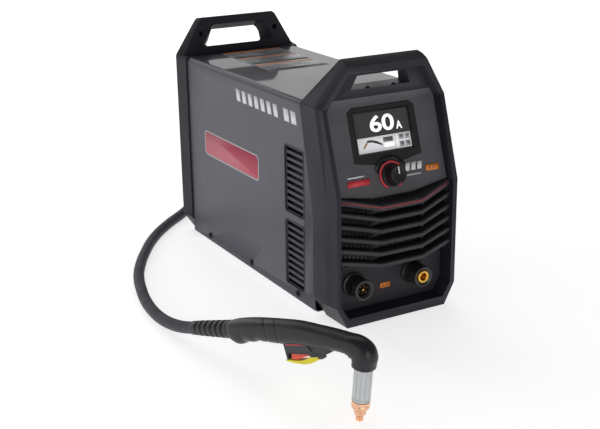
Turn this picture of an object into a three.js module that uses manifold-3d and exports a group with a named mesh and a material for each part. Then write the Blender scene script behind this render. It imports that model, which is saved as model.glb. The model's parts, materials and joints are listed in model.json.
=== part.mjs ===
// Plasma cutter unit: an inverter power source in a folded steel wrap between two
// moulded end bezels, with its hand torch and lead. Millimetres, +Z up, front faces -Y.
// The origin is on the floor, at the middle of the front bezel's foot face.
import * as THREE from 'three';
import { mergeVertices } from 'three/addons/utils/BufferGeometryUtils.js';
import Module from 'manifold-3d';

const wasm = await Module();
wasm.setup();

// ---------------------------------------------------------------- driving dimensions
// y is measured back from the front rim plane, and the whole object is then moved
// forward by FOOT_MID, so that the origin is on the middle of the front foot face.
const FOOT_MID = 30;
const GAP = 0.3; // clearance between touching pieces

const BODY = { half: 124, shoulder: 361, top: 434, rear: 589 };
const KINK = 223; // height where the front face starts to lean back
const LEAN_BACK = 44; // how far the front face has leaned back at the shoulder
const LEAN = Math.atan2(LEAN_BACK, BODY.shoulder - KINK);
const FOOT_HALF = 99;
const CHAMFER_TOP = 39; // bottom corner chamfer height
const RIM_HALF = 118;
const THROAT_HALF = 108;
const RECESS = 16; // depth of the front recess behind the rim

const WRAP = { half: 120.5, top: 364, bottom: 12, thick: 1.5, bend: 9, rear: 546 };
const PAN = { half: 118.6, floor: 7, thick: 1.5, flange: 28, front: 70, rear: 538 };

const CONSOLE_Z = 242; // height of the knob's axis on the leaning console
const WINDOW = { half: 65, low: 28, dip: 20, dipHalf: 25, top: 117, corner: 9 };
const SCREEN = { half: 53.5, low: 39.6, top: 106.5 };
const KNOB = { base: 19, face: 14.5, height: 22, ringOut: 23.5, ringIn: 20.3 };

const SLAT = {
  count: 6, kinkHalf: 40, endHalf: 107.4, depth: 26, height: 7, firstHeight: 10,
  kinkZ: 201, kinkPitch: 19.4, endZ: 216.5, endPitch: 20.4,
  kinkY: -11.4, kinkYStep: -0.6, endY: 8.4, endYStep: -1.05,
};

const TRAY = { y: 28, thick: 3, low: 17.6, high: 96 };
const TORCH_SOCKET = { x: -70, z: 64, reach: 36, radius: 17, bore: 11.5 };
const WORK_SOCKET = { x: 47, z: 64, reach: 37, radius: 18, bore: 12.4, brass: 12, hole: 7 };

const LOUVRE = { y: 132, half: 31, height: 116, slots: 10, slotPitch: 11.6, slotHeight: 4.2 };
const LOUVRE_Z = { lower: 90, upper: 221.7 };
const SIDE_SCREWS = [123.6, 295.9, 470];
const SCREW_Z = 23;

const REAR_PLATE = { y: 556, thick: 1.7, half: 118.3, low: 9, high: 361.8 };
const FAN = { z: 150, bore: 57, half: 61, depth: 25, hub: 20, blades: 7 };
const SWITCH = { x: -66, z: 300, w: 22, h: 30 };
const GLAND = { x: 66, z: 300, radius: 14 };
const AIR_INLET = { x: 0, z: 262, radius: 11 };

// The torch stands on its nozzle. Its own frame has y from the nozzle towards the
// handle's tail, x across it and z up.
const TORCH = { x: -245.5, y: -266.1, z: 0.45, turn: 15.8, capTilt: 5.2 };
const LEAD = { radius: 10, sides: 10 };
const FLOOR_Z = LEAD.radius + 0.2;
const COIL = { x: 145, y: 748, mid: 118, inner: 86, outer: 150, height: 62.2 };

// ---------------------------------------------------------------- small tools
const degrees = THREE.MathUtils.degToRad;

function material(color, roughness, metalness) {
  return new THREE.MeshStandardMaterial({ color, roughness, metalness });
}

const PAINTED_STEEL = material('#68686f', 0.45, 0.5);
const BEZEL_PLASTIC = material('#4a494d', 0.55, 0);
const DARK_PLASTIC = material('#2a282a', 0.6, 0);
const BLACK = material('#121212', 0.5, 0);
const SCREEN_GLASS = material('#38383a', 0.15, 0);
const RED = material('#e2464f', 0.45, 0);
const WHITE = material('#eceded', 0.5, 0);
const BRASS = material('#c8963c', 0.3, 0.9);
const COPPER = material('#d6966f', 0.3, 0.9);
const STEEL = material('#8b8d90', 0.35, 0.9);
const ALUMINIUM = material('#a9abae', 0.4, 0.8);
const BOARD_GREEN = material('#1f5a38', 0.5, 0);
const RUBBER = material('#3c3c42', 0.75, 0);
const TORCH_PLASTIC = material('#424146', 0.55, 0);
const CAP_GREY = material('#a5a8aa', 0.5, 0);
const TRIGGER_RED = material('#e14b2d', 0.45, 0);
const LEVER_YELLOW = material('#e4d628', 0.45, 0);

function signedVolume(position, index) {
  const [a, b, c] = [new THREE.Vector3(), new THREE.Vector3(), new THREE.Vector3()];
  let total = 0;
  for (let i = 0; i < index.count; i += 3) {
    a.fromBufferAttribute(position, index.getX(i));
    b.fromBufferAttribute(position, index.getX(i + 1));
    c.fromBufferAttribute(position, index.getX(i + 2));
    total += a.dot(b.cross(c));
  }
  return total;
}

// A geometry with shared vertices and outward faces.
function welded(geometry) {
  const bare = geometry.clone();
  bare.deleteAttribute('normal');
  bare.deleteAttribute('uv');
  const merged = mergeVertices(bare, 1e-4);
  const kept = [];
  const index = merged.index;
  for (let i = 0; i < index.count; i += 3) {
    const [a, b, c] = [index.getX(i), index.getX(i + 1), index.getX(i + 2)];
    if (a !== b && b !== c && c !== a) kept.push(a, b, c);
  }
  merged.setIndex(kept);
  if (signedVolume(merged.attributes.position, merged.index) < 0) {
    for (let i = 0; i < kept.length; i += 3) [kept[i + 1], kept[i + 2]] = [kept[i + 2], kept[i + 1]];
    merged.setIndex(kept);
  }
  return merged;
}

function solid(geometry) {
  const merged = welded(geometry);
  const vertProperties = new Float32Array(merged.attributes.position.array);
  const triVerts = new Uint32Array(merged.index.array);
  return new wasm.Manifold(new wasm.Mesh({ numProp: 3, vertProperties, triVerts }));
}

function geometryOf(manifold) {
  const mesh = manifold.getMesh();
  const geometry = new THREE.BufferGeometry();
  geometry.setAttribute('position', new THREE.BufferAttribute(new Float32Array(mesh.vertProperties), 3));
  geometry.setIndex(new THREE.BufferAttribute(new Uint32Array(mesh.triVerts), 1));
  return geometry;
}

function cut(base, ...tools) {
  let result = solid(base);
  for (const tool of tools) result = result.subtract(solid(tool));
  return geometryOf(result);
}

function join(...pieces) {
  let result = solid(pieces[0]);
  for (const piece of pieces.slice(1)) result = result.add(solid(piece));
  return geometryOf(result);
}

function part(name, geometry, look) {
  const mesh = new THREE.Mesh(welded(geometry), look);
  mesh.name = name;
  return mesh;
}

function outline(points) {
  return new THREE.Shape(points.map(([u, v]) => new THREE.Vector2(u, v)));
}

function mirrored(points) {
  return [...points, ...points.map(([u, v]) => [-u, v]).reverse()];
}

// A prism of a shape between two places along an axis. The shape is drawn in (y, z),
// (x, z) or (x, y) for the axes x, y and z.
function prism(axis, shape, from, to, curveSegments = 12) {
  const drawn = shape instanceof THREE.Shape ? shape : outline(shape);
  const geometry = new THREE.ExtrudeGeometry(drawn, { depth: to - from, bevelEnabled: false, curveSegments });
  if (axis === 'x') {
    const cycle = new THREE.Matrix4().makeBasis(
      new THREE.Vector3(0, 1, 0), new THREE.Vector3(0, 0, 1), new THREE.Vector3(1, 0, 0));
    geometry.applyMatrix4(cycle);
    geometry.translate(from, 0, 0);
  } else if (axis === 'y') {
    geometry.rotateX(Math.PI / 2);
    geometry.translate(0, to, 0);
  } else {
    geometry.translate(0, 0, from);
  }
  return geometry;
}

function box(x0, x1, y0, y1, z0, z1) {
  const geometry = new THREE.BoxGeometry(x1 - x0, y1 - y0, z1 - z0);
  geometry.translate((x0 + x1) / 2, (y0 + y1) / 2, (z0 + z1) / 2);
  return geometry;
}

// A solid through rings of points. Each ring has the same number of points, and the
// end caps are fans unless caps gives their triangles.
function loft(rings, caps) {
  const count = rings[0].length;
  const fan = [];
  for (let j = 1; j < count - 1; j++) fan.push([0, j, j + 1]);
  const ends = caps ?? fan;
  const last = (rings.length - 1) * count;
  const index = [];
  for (const [a, b, c] of ends) index.push(a, b, c, last + a, last + c, last + b);
  for (let r = 0; r < rings.length - 1; r++) {
    for (let j = 0; j < count; j++) {
      const k = (j + 1) % count;
      const [a, b, c, d] = [r * count + j, (r + 1) * count + j, (r + 1) * count + k, r * count + k];
      index.push(a, b, c, a, c, d);
    }
  }
  const geometry = new THREE.BufferGeometry();
  geometry.setAttribute('position', new THREE.Float32BufferAttribute(rings.flat(2), 3));
  geometry.setIndex(index);
  return geometry;
}

// A symmetric solid whose rings are given as rows [half width, y, z] from the bottom up.
function ladder(...rings) {
  const rows = rings[0].length;
  const last = 2 * rows - 1;
  const caps = [];
  for (let i = 0; i < rows - 1; i++) {
    caps.push([i, i + 1, last - i - 1], [i, last - i - 1, last - i]);
  }
  const full = rings.map((ring) => {
    const right = ring.map(([s, y, z]) => [s, y, z]);
    const left = ring.map(([s, y, z]) => [-s, y, z]).reverse();
    return [...right, ...left];
  });
  return loft(full, caps);
}

// A turned piece: profile points are [radius, height], along +Z.
function turned(profile, segments = 24) {
  const points = profile.map(([r, h]) => new THREE.Vector2(r, h));
  const geometry = new THREE.LatheGeometry(points, segments);
  geometry.rotateX(Math.PI / 2);
  return geometry;
}

// A turned piece that points to the front, -Y, from its base at y.
function turnedForward(profile, x, y, z, segments = 24) {
  const geometry = turned(profile, segments);
  geometry.rotateX(Math.PI / 2);
  geometry.translate(x, y, z);
  return geometry;
}

// A turned piece that points to the back, +Y.
function turnedBack(profile, x, y, z, segments = 24) {
  const geometry = turned(profile, segments);
  geometry.rotateX(-Math.PI / 2);
  geometry.translate(x, y, z);
  return geometry;
}

function rod(radius, length) {
  return [[0, 0], [radius, 0], [radius, length], [0, length]];
}

// Depth of the rim's front face at a height.
function faceY(z) {
  return z <= KINK ? 0 : ((z - KINK) / (BODY.shoulder - KINK)) * LEAN_BACK;
}

// ---------------------------------------------------------------- leaning console
// In the console's frame x is across, z is up along the panel and -y is out of it.
const consolePlace = new THREE.Matrix4().compose(
  new THREE.Vector3(0, faceY(CONSOLE_Z) + RECESS, CONSOLE_Z),
  new THREE.Quaternion().setFromAxisAngle(new THREE.Vector3(1, 0, 0), -LEAN),
  new THREE.Vector3(1, 1, 1));

function onConsole(geometry) {
  return geometry.clone().applyMatrix4(consolePlace);
}

function windowOutline(inset) {
  const w = WINDOW;
  return mirrored([
    [w.dipHalf, w.dip + inset], [w.half + 1 - inset, w.low + inset],
    [w.half - inset, w.top - w.corner * 0.8 - inset], [w.half - w.corner - inset, w.top - inset],
  ]);
}

function screenOutline(clearance) {
  const [h, low, top] = [SCREEN.half + clearance, SCREEN.low - clearance, SCREEN.top + clearance];
  return [[-h, low], [h, low], [h, top], [-h, top]];
}

// ---------------------------------------------------------------- front end
function frontBezel() {
  const [w, sh] = [BODY.half, BODY.shoulder];
  const shell = ladder(
    [[98, 0, 0], [RIM_HALF, 0, 38], [RIM_HALF, 0, KINK], [RIM_HALF, LEAN_BACK, sh - 1], [77, 38, 424]],
    [[98.5, 22, 0], [w, 23.5, CHAMFER_TOP], [w, 23.5, KINK - 1], [w, 57, sh], [75.5, 50, 431]],
    [[FOOT_HALF, 65, 0], [w, 65, CHAMFER_TOP], [w, 65, 181], [w, 106, sh], [74, 62, BODY.top]]);
  const recess = ladder(
    [[95, -2, 15.5], [110, -2, 40], [110, -2, KINK], [110, LEAN_BACK - 2, 357], [72, 35, 413]],
    [[93, RECESS, 17], [108, RECESS, 41], [108, RECESS, KINK - 2], [108, 60, 356], [71, 54, 407]]);
  const throatRows = [[93, 10, 17], [108, 10, 41], [108, 10, KINK - 2], [108, 57, 356], [99, 56, 369]];
  const throat = ladder(throatRows, throatRows.map(([s, , z]) => [s, 140, z]));
  const pocketRows = [[96, 34, 4], [120.9, 34, 41], [120.9, 34, 190], [120.9, 68, 357], [120.9, 68, 365.5]];
  const pocket = ladder(pocketRows, pocketRows.map(([s, , z]) => [s, 140, z]));
  const grip = ladder(
    [[56, 25, 383], [56, 25, 385], [46, 25, 405.5]],
    [[59, 140, 383], [59, 140, 385], [49, 140, 405.5]]);
  return part('front_bezel', cut(shell, recess, throat, pocket, grip), BEZEL_PLASTIC);
}

function controlPanel() {
  const clear = 0.4;
  const front = [
    [THROAT_HALF - clear, RECESS, 200], [THROAT_HALF - clear, RECESS, KINK - 2],
    [THROAT_HALF - clear, 60, 356 - clear], [99 - clear, 58.5, 369 - clear],
  ];
  const thickness = 3;
  const plate = ladder(front, front.map(([s, y, z]) => [s, y + thickness, z]));
  const below = prism('y', [
    [-130, 190], [130, 190], [130, 226], [108, 222], [37.4, 210],
    [-37.4, 210], [-108, 222], [-130, 226]], 0, 60);
  const window = onConsole(prism('y', windowOutline(0), -12, 30));
  const shaftHole = onConsole(turnedForward(rod(3.6, 60), 0, 30, 0, 16));
  return part('control_panel', cut(plate, below, window, shaftHole), DARK_PLASTIC);
}

function screenFrame() {
  const frame = prism('y', windowOutline(0.5), 1.5, 7);
  const hole = prism('y', screenOutline(0.4), -5, 20);
  const shaftHole = turnedForward(rod(3.6, 60), 0, 30, 0, 16);
  return part('screen_frame', onConsole(cut(frame, hole, shaftHole)), BLACK);
}

function displayModule() {
  return part('display_module', onConsole(prism('y', screenOutline(0), 5.5, 12)), SCREEN_GLASS);
}

function dialRing() {
  const [start, end] = [degrees(-60), degrees(240)];
  const shape = new THREE.Shape();
  shape.absarc(0, 0, KNOB.ringOut, start, end, false);
  shape.absarc(0, 0, KNOB.ringIn, end, start, true);
  return part('dial_ring', onConsole(prism('y', shape, -1.1, -GAP, 20)), RED);
}

function controlKnob() {
  const { base, face, height } = KNOB;
  const profile = [[0, 0], [base, 0], [base, 2.5], [base - 1.8, 4], [face + 1, height - 1.5],
    [face - 0.6, height], [0, height]];
  const knob = turnedForward(profile, 0, -1.3, 0, 28);
  return part('control_knob', onConsole(knob), BLACK);
}

function knobPointer() {
  const front = -1.3 - KNOB.height;
  return part('knob_pointer', onConsole(box(-1.2, 1.2, front - 1.1, front - GAP, 1, 12.5)), WHITE);
}

function encoderShaft() {
  return part('encoder_shaft', onConsole(turnedForward(rod(3, 8.7), 0, 7.7, 0, 14)), STEEL);
}

function encoderBody() {
  return part('encoder_body', onConsole(box(-7, 7, 8, 16, -7, 7)), DARK_PLASTIC);
}

// One chevron slat: flat in the middle and rising to both sides, and it stands further
// forward in the middle than at its ends.
function slat(i) {
  const s = SLAT;
  const height = i === 0 ? s.firstHeight : s.height;
  const section = [[0, -height / 2], [s.depth, -height / 2 + 2.2], [s.depth, height / 2 - 1.6],
    [2.2, height / 2], [0, height / 2 - 1.6]];
  const stations = [
    [-s.endHalf, s.endY + i * s.endYStep, s.endZ - i * s.endPitch],
    [-s.kinkHalf, s.kinkY + i * s.kinkYStep, s.kinkZ - i * s.kinkPitch],
    [s.kinkHalf, s.kinkY + i * s.kinkYStep, s.kinkZ - i * s.kinkPitch],
    [s.endHalf, s.endY + i * s.endYStep, s.endZ - i * s.endPitch],
  ];
  return loft(stations.map(([x, y, z]) => section.map(([dy, dz]) => [x, y + dy, z + dz])));
}

// A strut that leaves a slat's kink and runs back, outward and down to the slat below.
function fork(i, side) {
  const s = SLAT;
  const [x, y, z] = [s.kinkHalf, s.kinkY + i * s.kinkYStep + 2, s.kinkZ - i * s.kinkPitch];
  const [reach, back, drop, half, tall] = [14.6, 22, 17.5, 2.2, 3];
  const ring = (dx, dy, dz) => [[-half, -tall], [half, -tall], [half, tall], [-half, tall]].map(([u, v]) =>
    [side * (x + dx + u), y + dy - u * 0.5, z + dz + v]);
  return loft([ring(0, 0, 0), ring(reach, back, -drop)]);
}

function frontGrille() {
  const pieces = [];
  for (let i = 0; i < SLAT.count; i++) pieces.push(slat(i));
  for (const side of [-1, 1]) {
    for (let i = 0; i < SLAT.count - 1; i++) pieces.push(fork(i, side));
    const [c, d] = [side * (SLAT.endHalf - 1.3) - 1.2, side * (SLAT.endHalf - 1.3) + 1.2];
    pieces.push(box(c, d, 14, 34, 98, 221));
  }
  return part('front_grille', join(...pieces), BEZEL_PLASTIC);
}

function grilleScreen() {
  return part('grille_screen', box(-104, 104, 36, 37.2, 94, 215), BLACK);
}

function trayPanel() {
  const t = TRAY;
  const rows = [[92.4, t.low], [107.6, 41.4], [107.6, t.high]];
  const plate = prism('y', mirrored(rows), t.y, t.y + t.thick);
  const holes = [TORCH_SOCKET, WORK_SOCKET].map((s) =>
    turnedForward(rod(12.6, 20), s.x, t.y + 10, s.z, 20));
  return part('connector_panel', cut(plate, ...holes), DARK_PLASTIC);
}

function torchSocketBody() {
  const s = TORCH_SOCKET;
  const r = s.radius;
  const profile = [[s.bore, -16], [12.2, -16], [12.2, GAP], [r + 4, GAP], [r + 4, 3.5], [r, 5],
    [r, s.reach - 6], [r + 1, s.reach - 5], [r + 1, s.reach - 1], [r, s.reach], [s.bore, s.reach],
    [s.bore, -16]];
  return part('torch_socket_body', turnedForward(profile, s.x, TRAY.y, s.z, 24), BLACK);
}

function torchSocketContacts() {
  const s = TORCH_SOCKET;
  const disc = turnedForward(rod(s.bore - GAP, 22), s.x, TRAY.y + 10, s.z, 20);
  const pins = [turnedForward(rod(2.6, 16), s.x, TRAY.y - 10, s.z, 10)];
  for (let i = 0; i < 6; i++) {
    const angle = (i / 6) * Math.PI * 2 + 0.3;
    const [x, z] = [s.x + 7 * Math.cos(angle), s.z + 7 * Math.sin(angle)];
    pins.push(turnedForward(rod(1.1, 14), x, TRAY.y - 10, z, 8));
  }
  return part('torch_socket_contacts', join(disc, ...pins), BRASS);
}

function workSocketBody() {
  const s = WORK_SOCKET;
  const r = s.radius;
  const profile = [[s.bore, 0.6], [r + 3, 0.6], [r + 3, 4], [r, 5.5], [r, s.reach - 2],
    [r - 2, s.reach], [s.bore, s.reach], [s.bore, 0.6]];
  return part('work_socket_body', turnedForward(profile, s.x, TRAY.y, s.z, 24), BLACK);
}

function workSocketContact() {
  const s = WORK_SOCKET;
  const profile = [[0, -16], [8, -16], [8, 0], [s.brass, 1], [s.brass, s.reach - 1.5],
    [s.brass - 1, s.reach - 0.5], [s.hole, s.reach - 0.5], [s.hole, 8], [0, 8]];
  return part('work_socket_contact', turnedForward(profile, s.x, TRAY.y, s.z, 24), BRASS);
}

// ---------------------------------------------------------------- wrap, louvres, screws
function wrapOutline(half, top, bend, bottom) {
  const shape = new THREE.Shape();
  shape.moveTo(half, bottom);
  shape.lineTo(half, top - bend);
  shape.absarc(half - bend, top - bend, bend, 0, Math.PI / 2, false);
  shape.lineTo(-half + bend, top);
  shape.absarc(-half + bend, top - bend, bend, Math.PI / 2, Math.PI, false);
  shape.lineTo(-half, bottom);
  return shape;
}

function screwHole(side, y, from, to) {
  const radius = 2.6;
  const shape = new THREE.Shape();
  shape.absarc(y, SCREW_Z, radius, 0, Math.PI * 2, false);
  return prism('x', shape, side < 0 ? -to : from, side < 0 ? -from : to, 3);
}

function wrapCover() {
  const w = WRAP;
  const outer = prism('y', wrapOutline(w.half, w.top, w.bend, w.bottom), 58, w.rear, 3);
  const inner = prism('y',
    wrapOutline(w.half - w.thick, w.top - w.thick, w.bend - w.thick, w.bottom - 5), 40, w.rear + 20, 3);
  const front = prism('x', [
    [30, -10], [66, -10], [66, 42], [60, 42], [60, 181], [101, 361], [101, 380], [30, 380]], -140, 140);
  const l = LOUVRE;
  const windows = [];
  for (const z of Object.values(LOUVRE_Z)) {
    windows.push(box(-140, 140, l.y - l.half, l.y + l.half, z - l.height / 2, z + l.height / 2));
  }
  const holes = [];
  for (const side of [-1, 1]) for (const y of SIDE_SCREWS) holes.push(screwHole(side, y, 110, 130));
  return part('wrap_cover', cut(outer, inner, front, ...windows, ...holes), PAINTED_STEEL);
}

function louvrePlate(name, side, z) {
  const l = LOUVRE;
  const [near, far] = [117.2, 118.7];
  const [y0, y1] = [l.y - l.half - 4, l.y + l.half + 4];
  const [x0, x1] = side < 0 ? [-far, -near] : [near, far];
  const plate = box(x0, x1, y0, y1, z - l.height / 2 - 4, z + l.height / 2 + 4);
  const slots = [];
  for (let i = 0; i < l.slots; i++) {
    const middle = z + (i - (l.slots - 1) / 2) * l.slotPitch;
    slots.push(box(x0 - 5, x1 + 5, y0 + 9, y1 - 9, middle - l.slotHeight / 2, middle + l.slotHeight / 2));
  }
  return part(name, cut(plate, ...slots), PAINTED_STEEL);
}

function louvrePlates() {
  const plates = [];
  for (const [sideName, side] of [['left', -1], ['right', 1]]) {
    for (const [level, z] of Object.entries(LOUVRE_Z)) {
      plates.push(louvrePlate(`louvre_${sideName}_${level}`, side, z));
    }
  }
  return plates;
}

function sideScrews() {
  const screws = [];
  for (const [sideName, side] of [['left', -1], ['right', 1]]) {
    SIDE_SCREWS.forEach((y, i) => {
      const geometry = turned([[0, -8], [2, -8], [2, GAP], [4.6, GAP], [4.4, 1.6], [3, 2.6], [0, 2.8]], 12);
      geometry.rotateY((side * Math.PI) / 2);
      geometry.translate(side * WRAP.half, y, SCREW_Z);
      screws.push(part(`side_screw_${sideName}_${i + 1}`, geometry, STEEL));
    });
  }
  return screws;
}

function basePan() {
  const p = PAN;
  const [h, t] = [p.half, p.thick];
  const top = p.flange;
  const shape = [
    [-h, p.floor + 5], [-h + 5, p.floor], [h - 5, p.floor], [h, p.floor + 5], [h, top], [h - t, top],
    [h - t, p.floor + 5.6], [h - 5.6, p.floor + t], [-h + 5.6, p.floor + t], [-h + t, p.floor + 5.6],
    [-h + t, top], [-h, top]];
  const holes = [];
  for (const side of [-1, 1]) for (const y of SIDE_SCREWS) holes.push(screwHole(side, y, 110, 125));
  return part('base_pan', cut(prism('y', shape, p.front, p.rear), ...holes), STEEL);
}

// ---------------------------------------------------------------- rear end
function rearBezel() {
  const [w, sh, back] = [BODY.half, BODY.shoulder, BODY.rear];
  const [front, ledge] = [WRAP.rear + 0.4, WRAP.top + 1.4];
  const shell = ladder(
    [[FOOT_HALF, front, 0], [w, front, CHAMFER_TOP], [w, front, 181], [w, front, sh - 1], [121, front, ledge],
      [120, 562, ledge + 0.2], [83, 565, 429], [77, 566, BODY.top]],
    [[101, 578, 0], [129, 578, 41], [129, 578, 181], [129.5, 580, 360], [129, 580.5, 364],
      [128, 581, 366], [87, 582, 426], [82, 582, 431.5]],
    [[96, back, 0], [123, back, 39], [123, back, 181], [123, back, 358], [122.6, back, 360],
      [122, back, 362], [82, back, 422], [77, back, 427]]);
  const rows = [[93, 17], [THROAT_HALF, 41], [THROAT_HALF, 181], [THROAT_HALF, 350], [98, 357]];
  const throat = ladder(rows.map(([s, z]) => [s, 540, z]), rows.map(([s, z]) => [s, 600, z]));
  const pocketRows = [[93.6, 8.5], [118.7, 35.8], [118.7, 353], [109.5, 362.2]];
  const pocket = ladder(pocketRows.map(([s, z]) => [s, 540, z]), pocketRows.map(([s, z]) => [s, 558, z]));
  const grip = ladder(
    [[78, 550, 381], [84, 550, 386], [62, 550, 421], [55, 550, 427]],
    [[49, 600, 369.5], [54, 600, 373], [49, 600, 395], [44, 600, 399]]);
  const sockets = [-1, 1].map((side) => turnedForward(rod(5, 16), side * 81, 573, 403, 14));
  return part('rear_bezel', cut(shell, throat, pocket, grip, ...sockets), BEZEL_PLASTIC);
}

function handleScrews() {
  return [['left', -1], ['right', 1]].map(([name, side]) => {
    const profile = [[0, 0.4], [4.2, 0.4], [4.2, 2.6], [3, 3.6], [0, 3.8]];
    return part(`handle_screw_${name}`, turnedForward(profile, side * 81, 573, 403, 12), STEEL);
  });
}

function rearPanel() {
  const p = REAR_PLATE;
  const corner = WRAP.bend;
  const plateRows = [[93, p.low], [p.half, 36], [p.half, p.high - corner], [p.half - corner, p.high]];
  const plate = prism('y', mirrored(plateRows), p.y, p.y + p.thick);
  const flangeOut = prism('y', mirrored(plateRows), 541, p.y + 1);
  const inner = p.half - p.thick;
  const innerRows = [[92.2, p.low + p.thick], [inner, 36.8], [inner, p.high - corner - 0.7],
    [inner - corner + 0.7, p.high - p.thick]];
  const flangeIn = prism('y', mirrored(innerRows), 530, p.y + 0.5);
  const body = solid(plate).add(solid(flangeOut).subtract(solid(flangeIn)));
  const fanHole = turnedBack(rod(FAN.bore - 2, 40), 0, 535, FAN.z, 28);
  const glandHole = turnedBack(rod(10.4, 40), GLAND.x, 535, GLAND.z, 16);
  const inletHole = turnedBack(rod(8.4, 40), AIR_INLET.x, 535, AIR_INLET.z, 16);
  const s = SWITCH;
  const switchHole = box(s.x - s.w / 2 + 2, s.x + s.w / 2 - 2, 535, 575, s.z - s.h / 2 + 2, s.z + s.h / 2 - 2);
  let result = body;
  for (const hole of [fanHole, glandHole, inletHole, switchHole]) result = result.subtract(solid(hole));
  return part('rear_panel', geometryOf(result), DARK_PLASTIC);
}

function fanFrame() {
  const f = FAN;
  const [y0, y1] = [555.6 - f.depth, 555.6];
  const frame = box(-f.half, f.half, y0, y1, f.z - f.half, f.z + f.half);
  const bore = turnedBack(rod(f.bore, 60), 0, y0 - 20, f.z, 28);
  const struts = [];
  for (let i = 0; i < 3; i++) {
    const strut = box(0, f.bore + 2, y0, y0 + 3, -2.5, 2.5);
    strut.rotateY((i * 2 * Math.PI) / 3 + 0.5);
    strut.translate(0, 0, f.z);
    struts.push(strut);
  }
  const motor = turnedBack(rod(f.hub, 4), 0, y0, f.z, 20);
  return part('fan_frame', join(cut(frame, bore), motor, ...struts), BLACK);
}

function fanBlade(angle) {
  const f = FAN;
  const [width, thick, pitch] = [18, 1.8, 38];
  const blade = box(f.hub - 5, f.bore - 4, -thick / 2, thick / 2, -width / 2, width / 2);
  blade.rotateX(degrees(pitch));
  blade.rotateY(angle);
  blade.translate(0, 555.6 - f.depth + 14, f.z);
  return blade;
}

function fanRotor() {
  const f = FAN;
  const y0 = 555.6 - f.depth + 5;
  const hub = turnedBack([[0, 0], [f.hub, 0], [f.hub, 17], [f.hub - 2, 19], [0, 19]], 0, y0, f.z, 20);
  const blades = [];
  for (let i = 0; i < f.blades; i++) blades.push(fanBlade((i / f.blades) * Math.PI * 2));
  return part('fan_rotor', join(hub, ...blades), BLACK);
}

function fanGuard() {
  const shape = new THREE.Shape();
  shape.absarc(0, 0, FAN.bore + 3, 0, Math.PI * 2, false);
  const half = degrees(39);
  for (const radius of [22, 34, 46]) {
    for (let quarter = 0; quarter < 4; quarter++) {
      const middle = degrees(45 + 90 * quarter);
      const hole = new THREE.Path();
      hole.absarc(0, 0, radius + 8.6, middle - half, middle + half, false);
      hole.absarc(0, 0, radius, middle + half, middle - half, true);
      shape.holes.push(hole);
    }
  }
  const guard = prism('y', shape, 558.1, 559.6, 7);
  guard.translate(0, 0, FAN.z);
  return part('fan_guard', guard, STEEL);
}

function powerSwitch() {
  const s = SWITCH;
  const front = box(s.x - s.w / 2, s.x + s.w / 2, 558, 561, s.z - s.h / 2, s.z + s.h / 2);
  const [w, h] = [s.w / 2 - 2.5, s.h / 2 - 2.5];
  const back = box(s.x - w, s.x + w, 538, 559, s.z - h, s.z + h);
  const well = box(s.x - 7, s.x + 7, 550, 570, s.z - 11, s.z + 11);
  return part('power_switch_body', cut(join(front, back), well), BLACK);
}

const ROCKER = { y: 556.5, tilt: 10 };

function powerRocker() {
  const shape = [[-9.5, 2.2], [-7, -4.5], [0, -1.2], [7, -4.5], [9.5, 2.2], [6, 6.6], [0, 4.6], [-6, 6.6]];
  const rocker = prism('x', shape.map(([v, d]) => [d, v]), -6.4, 6.4);
  rocker.rotateX(degrees(ROCKER.tilt));
  rocker.translate(SWITCH.x, ROCKER.y, SWITCH.z);
  return part('power_switch_rocker', rocker, RED);
}

function mainsGland() {
  const r = GLAND.radius;
  const profile = [[5.5, -12], [10, -12], [10, GAP], [r + 2, GAP], [r + 2, 7], [r - 2, 8], [r - 2, 17],
    [r - 4, 22], [5.5, 22], [5.5, -12]];
  return part('mains_gland', turnedBack(profile, GLAND.x, REAR_PLATE.y + REAR_PLATE.thick, GLAND.z, 20), BLACK);
}

function airInlet() {
  const r = AIR_INLET.radius;
  const profile = [[3, -14], [8, -14], [8, GAP], [r, GAP], [r, 8], [6, 9], [6, 15], [7.4, 16], [7.4, 18],
    [5.6, 21], [5.6, 25], [3, 25], [3, -14]];
  const y = REAR_PLATE.y + REAR_PLATE.thick;
  return part('air_inlet', turnedBack(profile, AIR_INLET.x, y, AIR_INLET.z, 18), BRASS);
}

// ---------------------------------------------------------------- inside
function heatSink() {
  const fins = 9;
  const [width, base, tall] = [150, 8, 44];
  const pitch = (width - 4) / (fins - 1);
  const points = [[-width / 2, 0], [width / 2, 0]];
  for (let i = fins - 1; i >= 0; i--) {
    const middle = -width / 2 + 2 + i * pitch;
    points.push([middle + 2, base], [middle + 2, tall], [middle - 2, tall], [middle - 2, base]);
  }
  const sink = prism('y', points, 190, 400);
  sink.translate(0, 0, PAN.floor + PAN.thick + GAP);
  return part('heat_sink', cut(sink, box(-90, 90, 480, 520, 0, 300)), ALUMINIUM);
}

function insides() {
  const deck = PAN.floor + PAN.thick + GAP;
  const board = box(-100, 100, 175, 415, 54, 56);
  const core = box(-78, -14, 430, 510, deck, deck + 78);
  const winding = box(-70, -22, 422, 518, deck + 10, deck + 66);
  const ring = turned([[14, 0], [34, 0], [34, 34], [14, 34], [14, 0]], 20);
  ring.translate(48, 470, deck);
  const capacitors = [-40, 20].map((x) => {
    const can = turned(rod(22, 78), 18);
    can.translate(x, 300, 56.3);
    return can;
  });
  const valve = join(box(60, 100, 470, 500, 200, 232), box(68, 92, 474, 496, 230, 262));
  const controlBoard = onConsole(box(-80, 80, 20, 22, 10, 110));
  return [
    part('power_board', board, BOARD_GREEN),
    part('transformer', join(core, winding), STEEL),
    part('output_inductor', ring, STEEL),
    part('capacitor_1', capacitors[0], BLACK),
    part('capacitor_2', capacitors[1], BLACK),
    part('air_valve', valve, BRASS),
    part('control_board', controlBoard, BOARD_GREEN),
  ];
}

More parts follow.
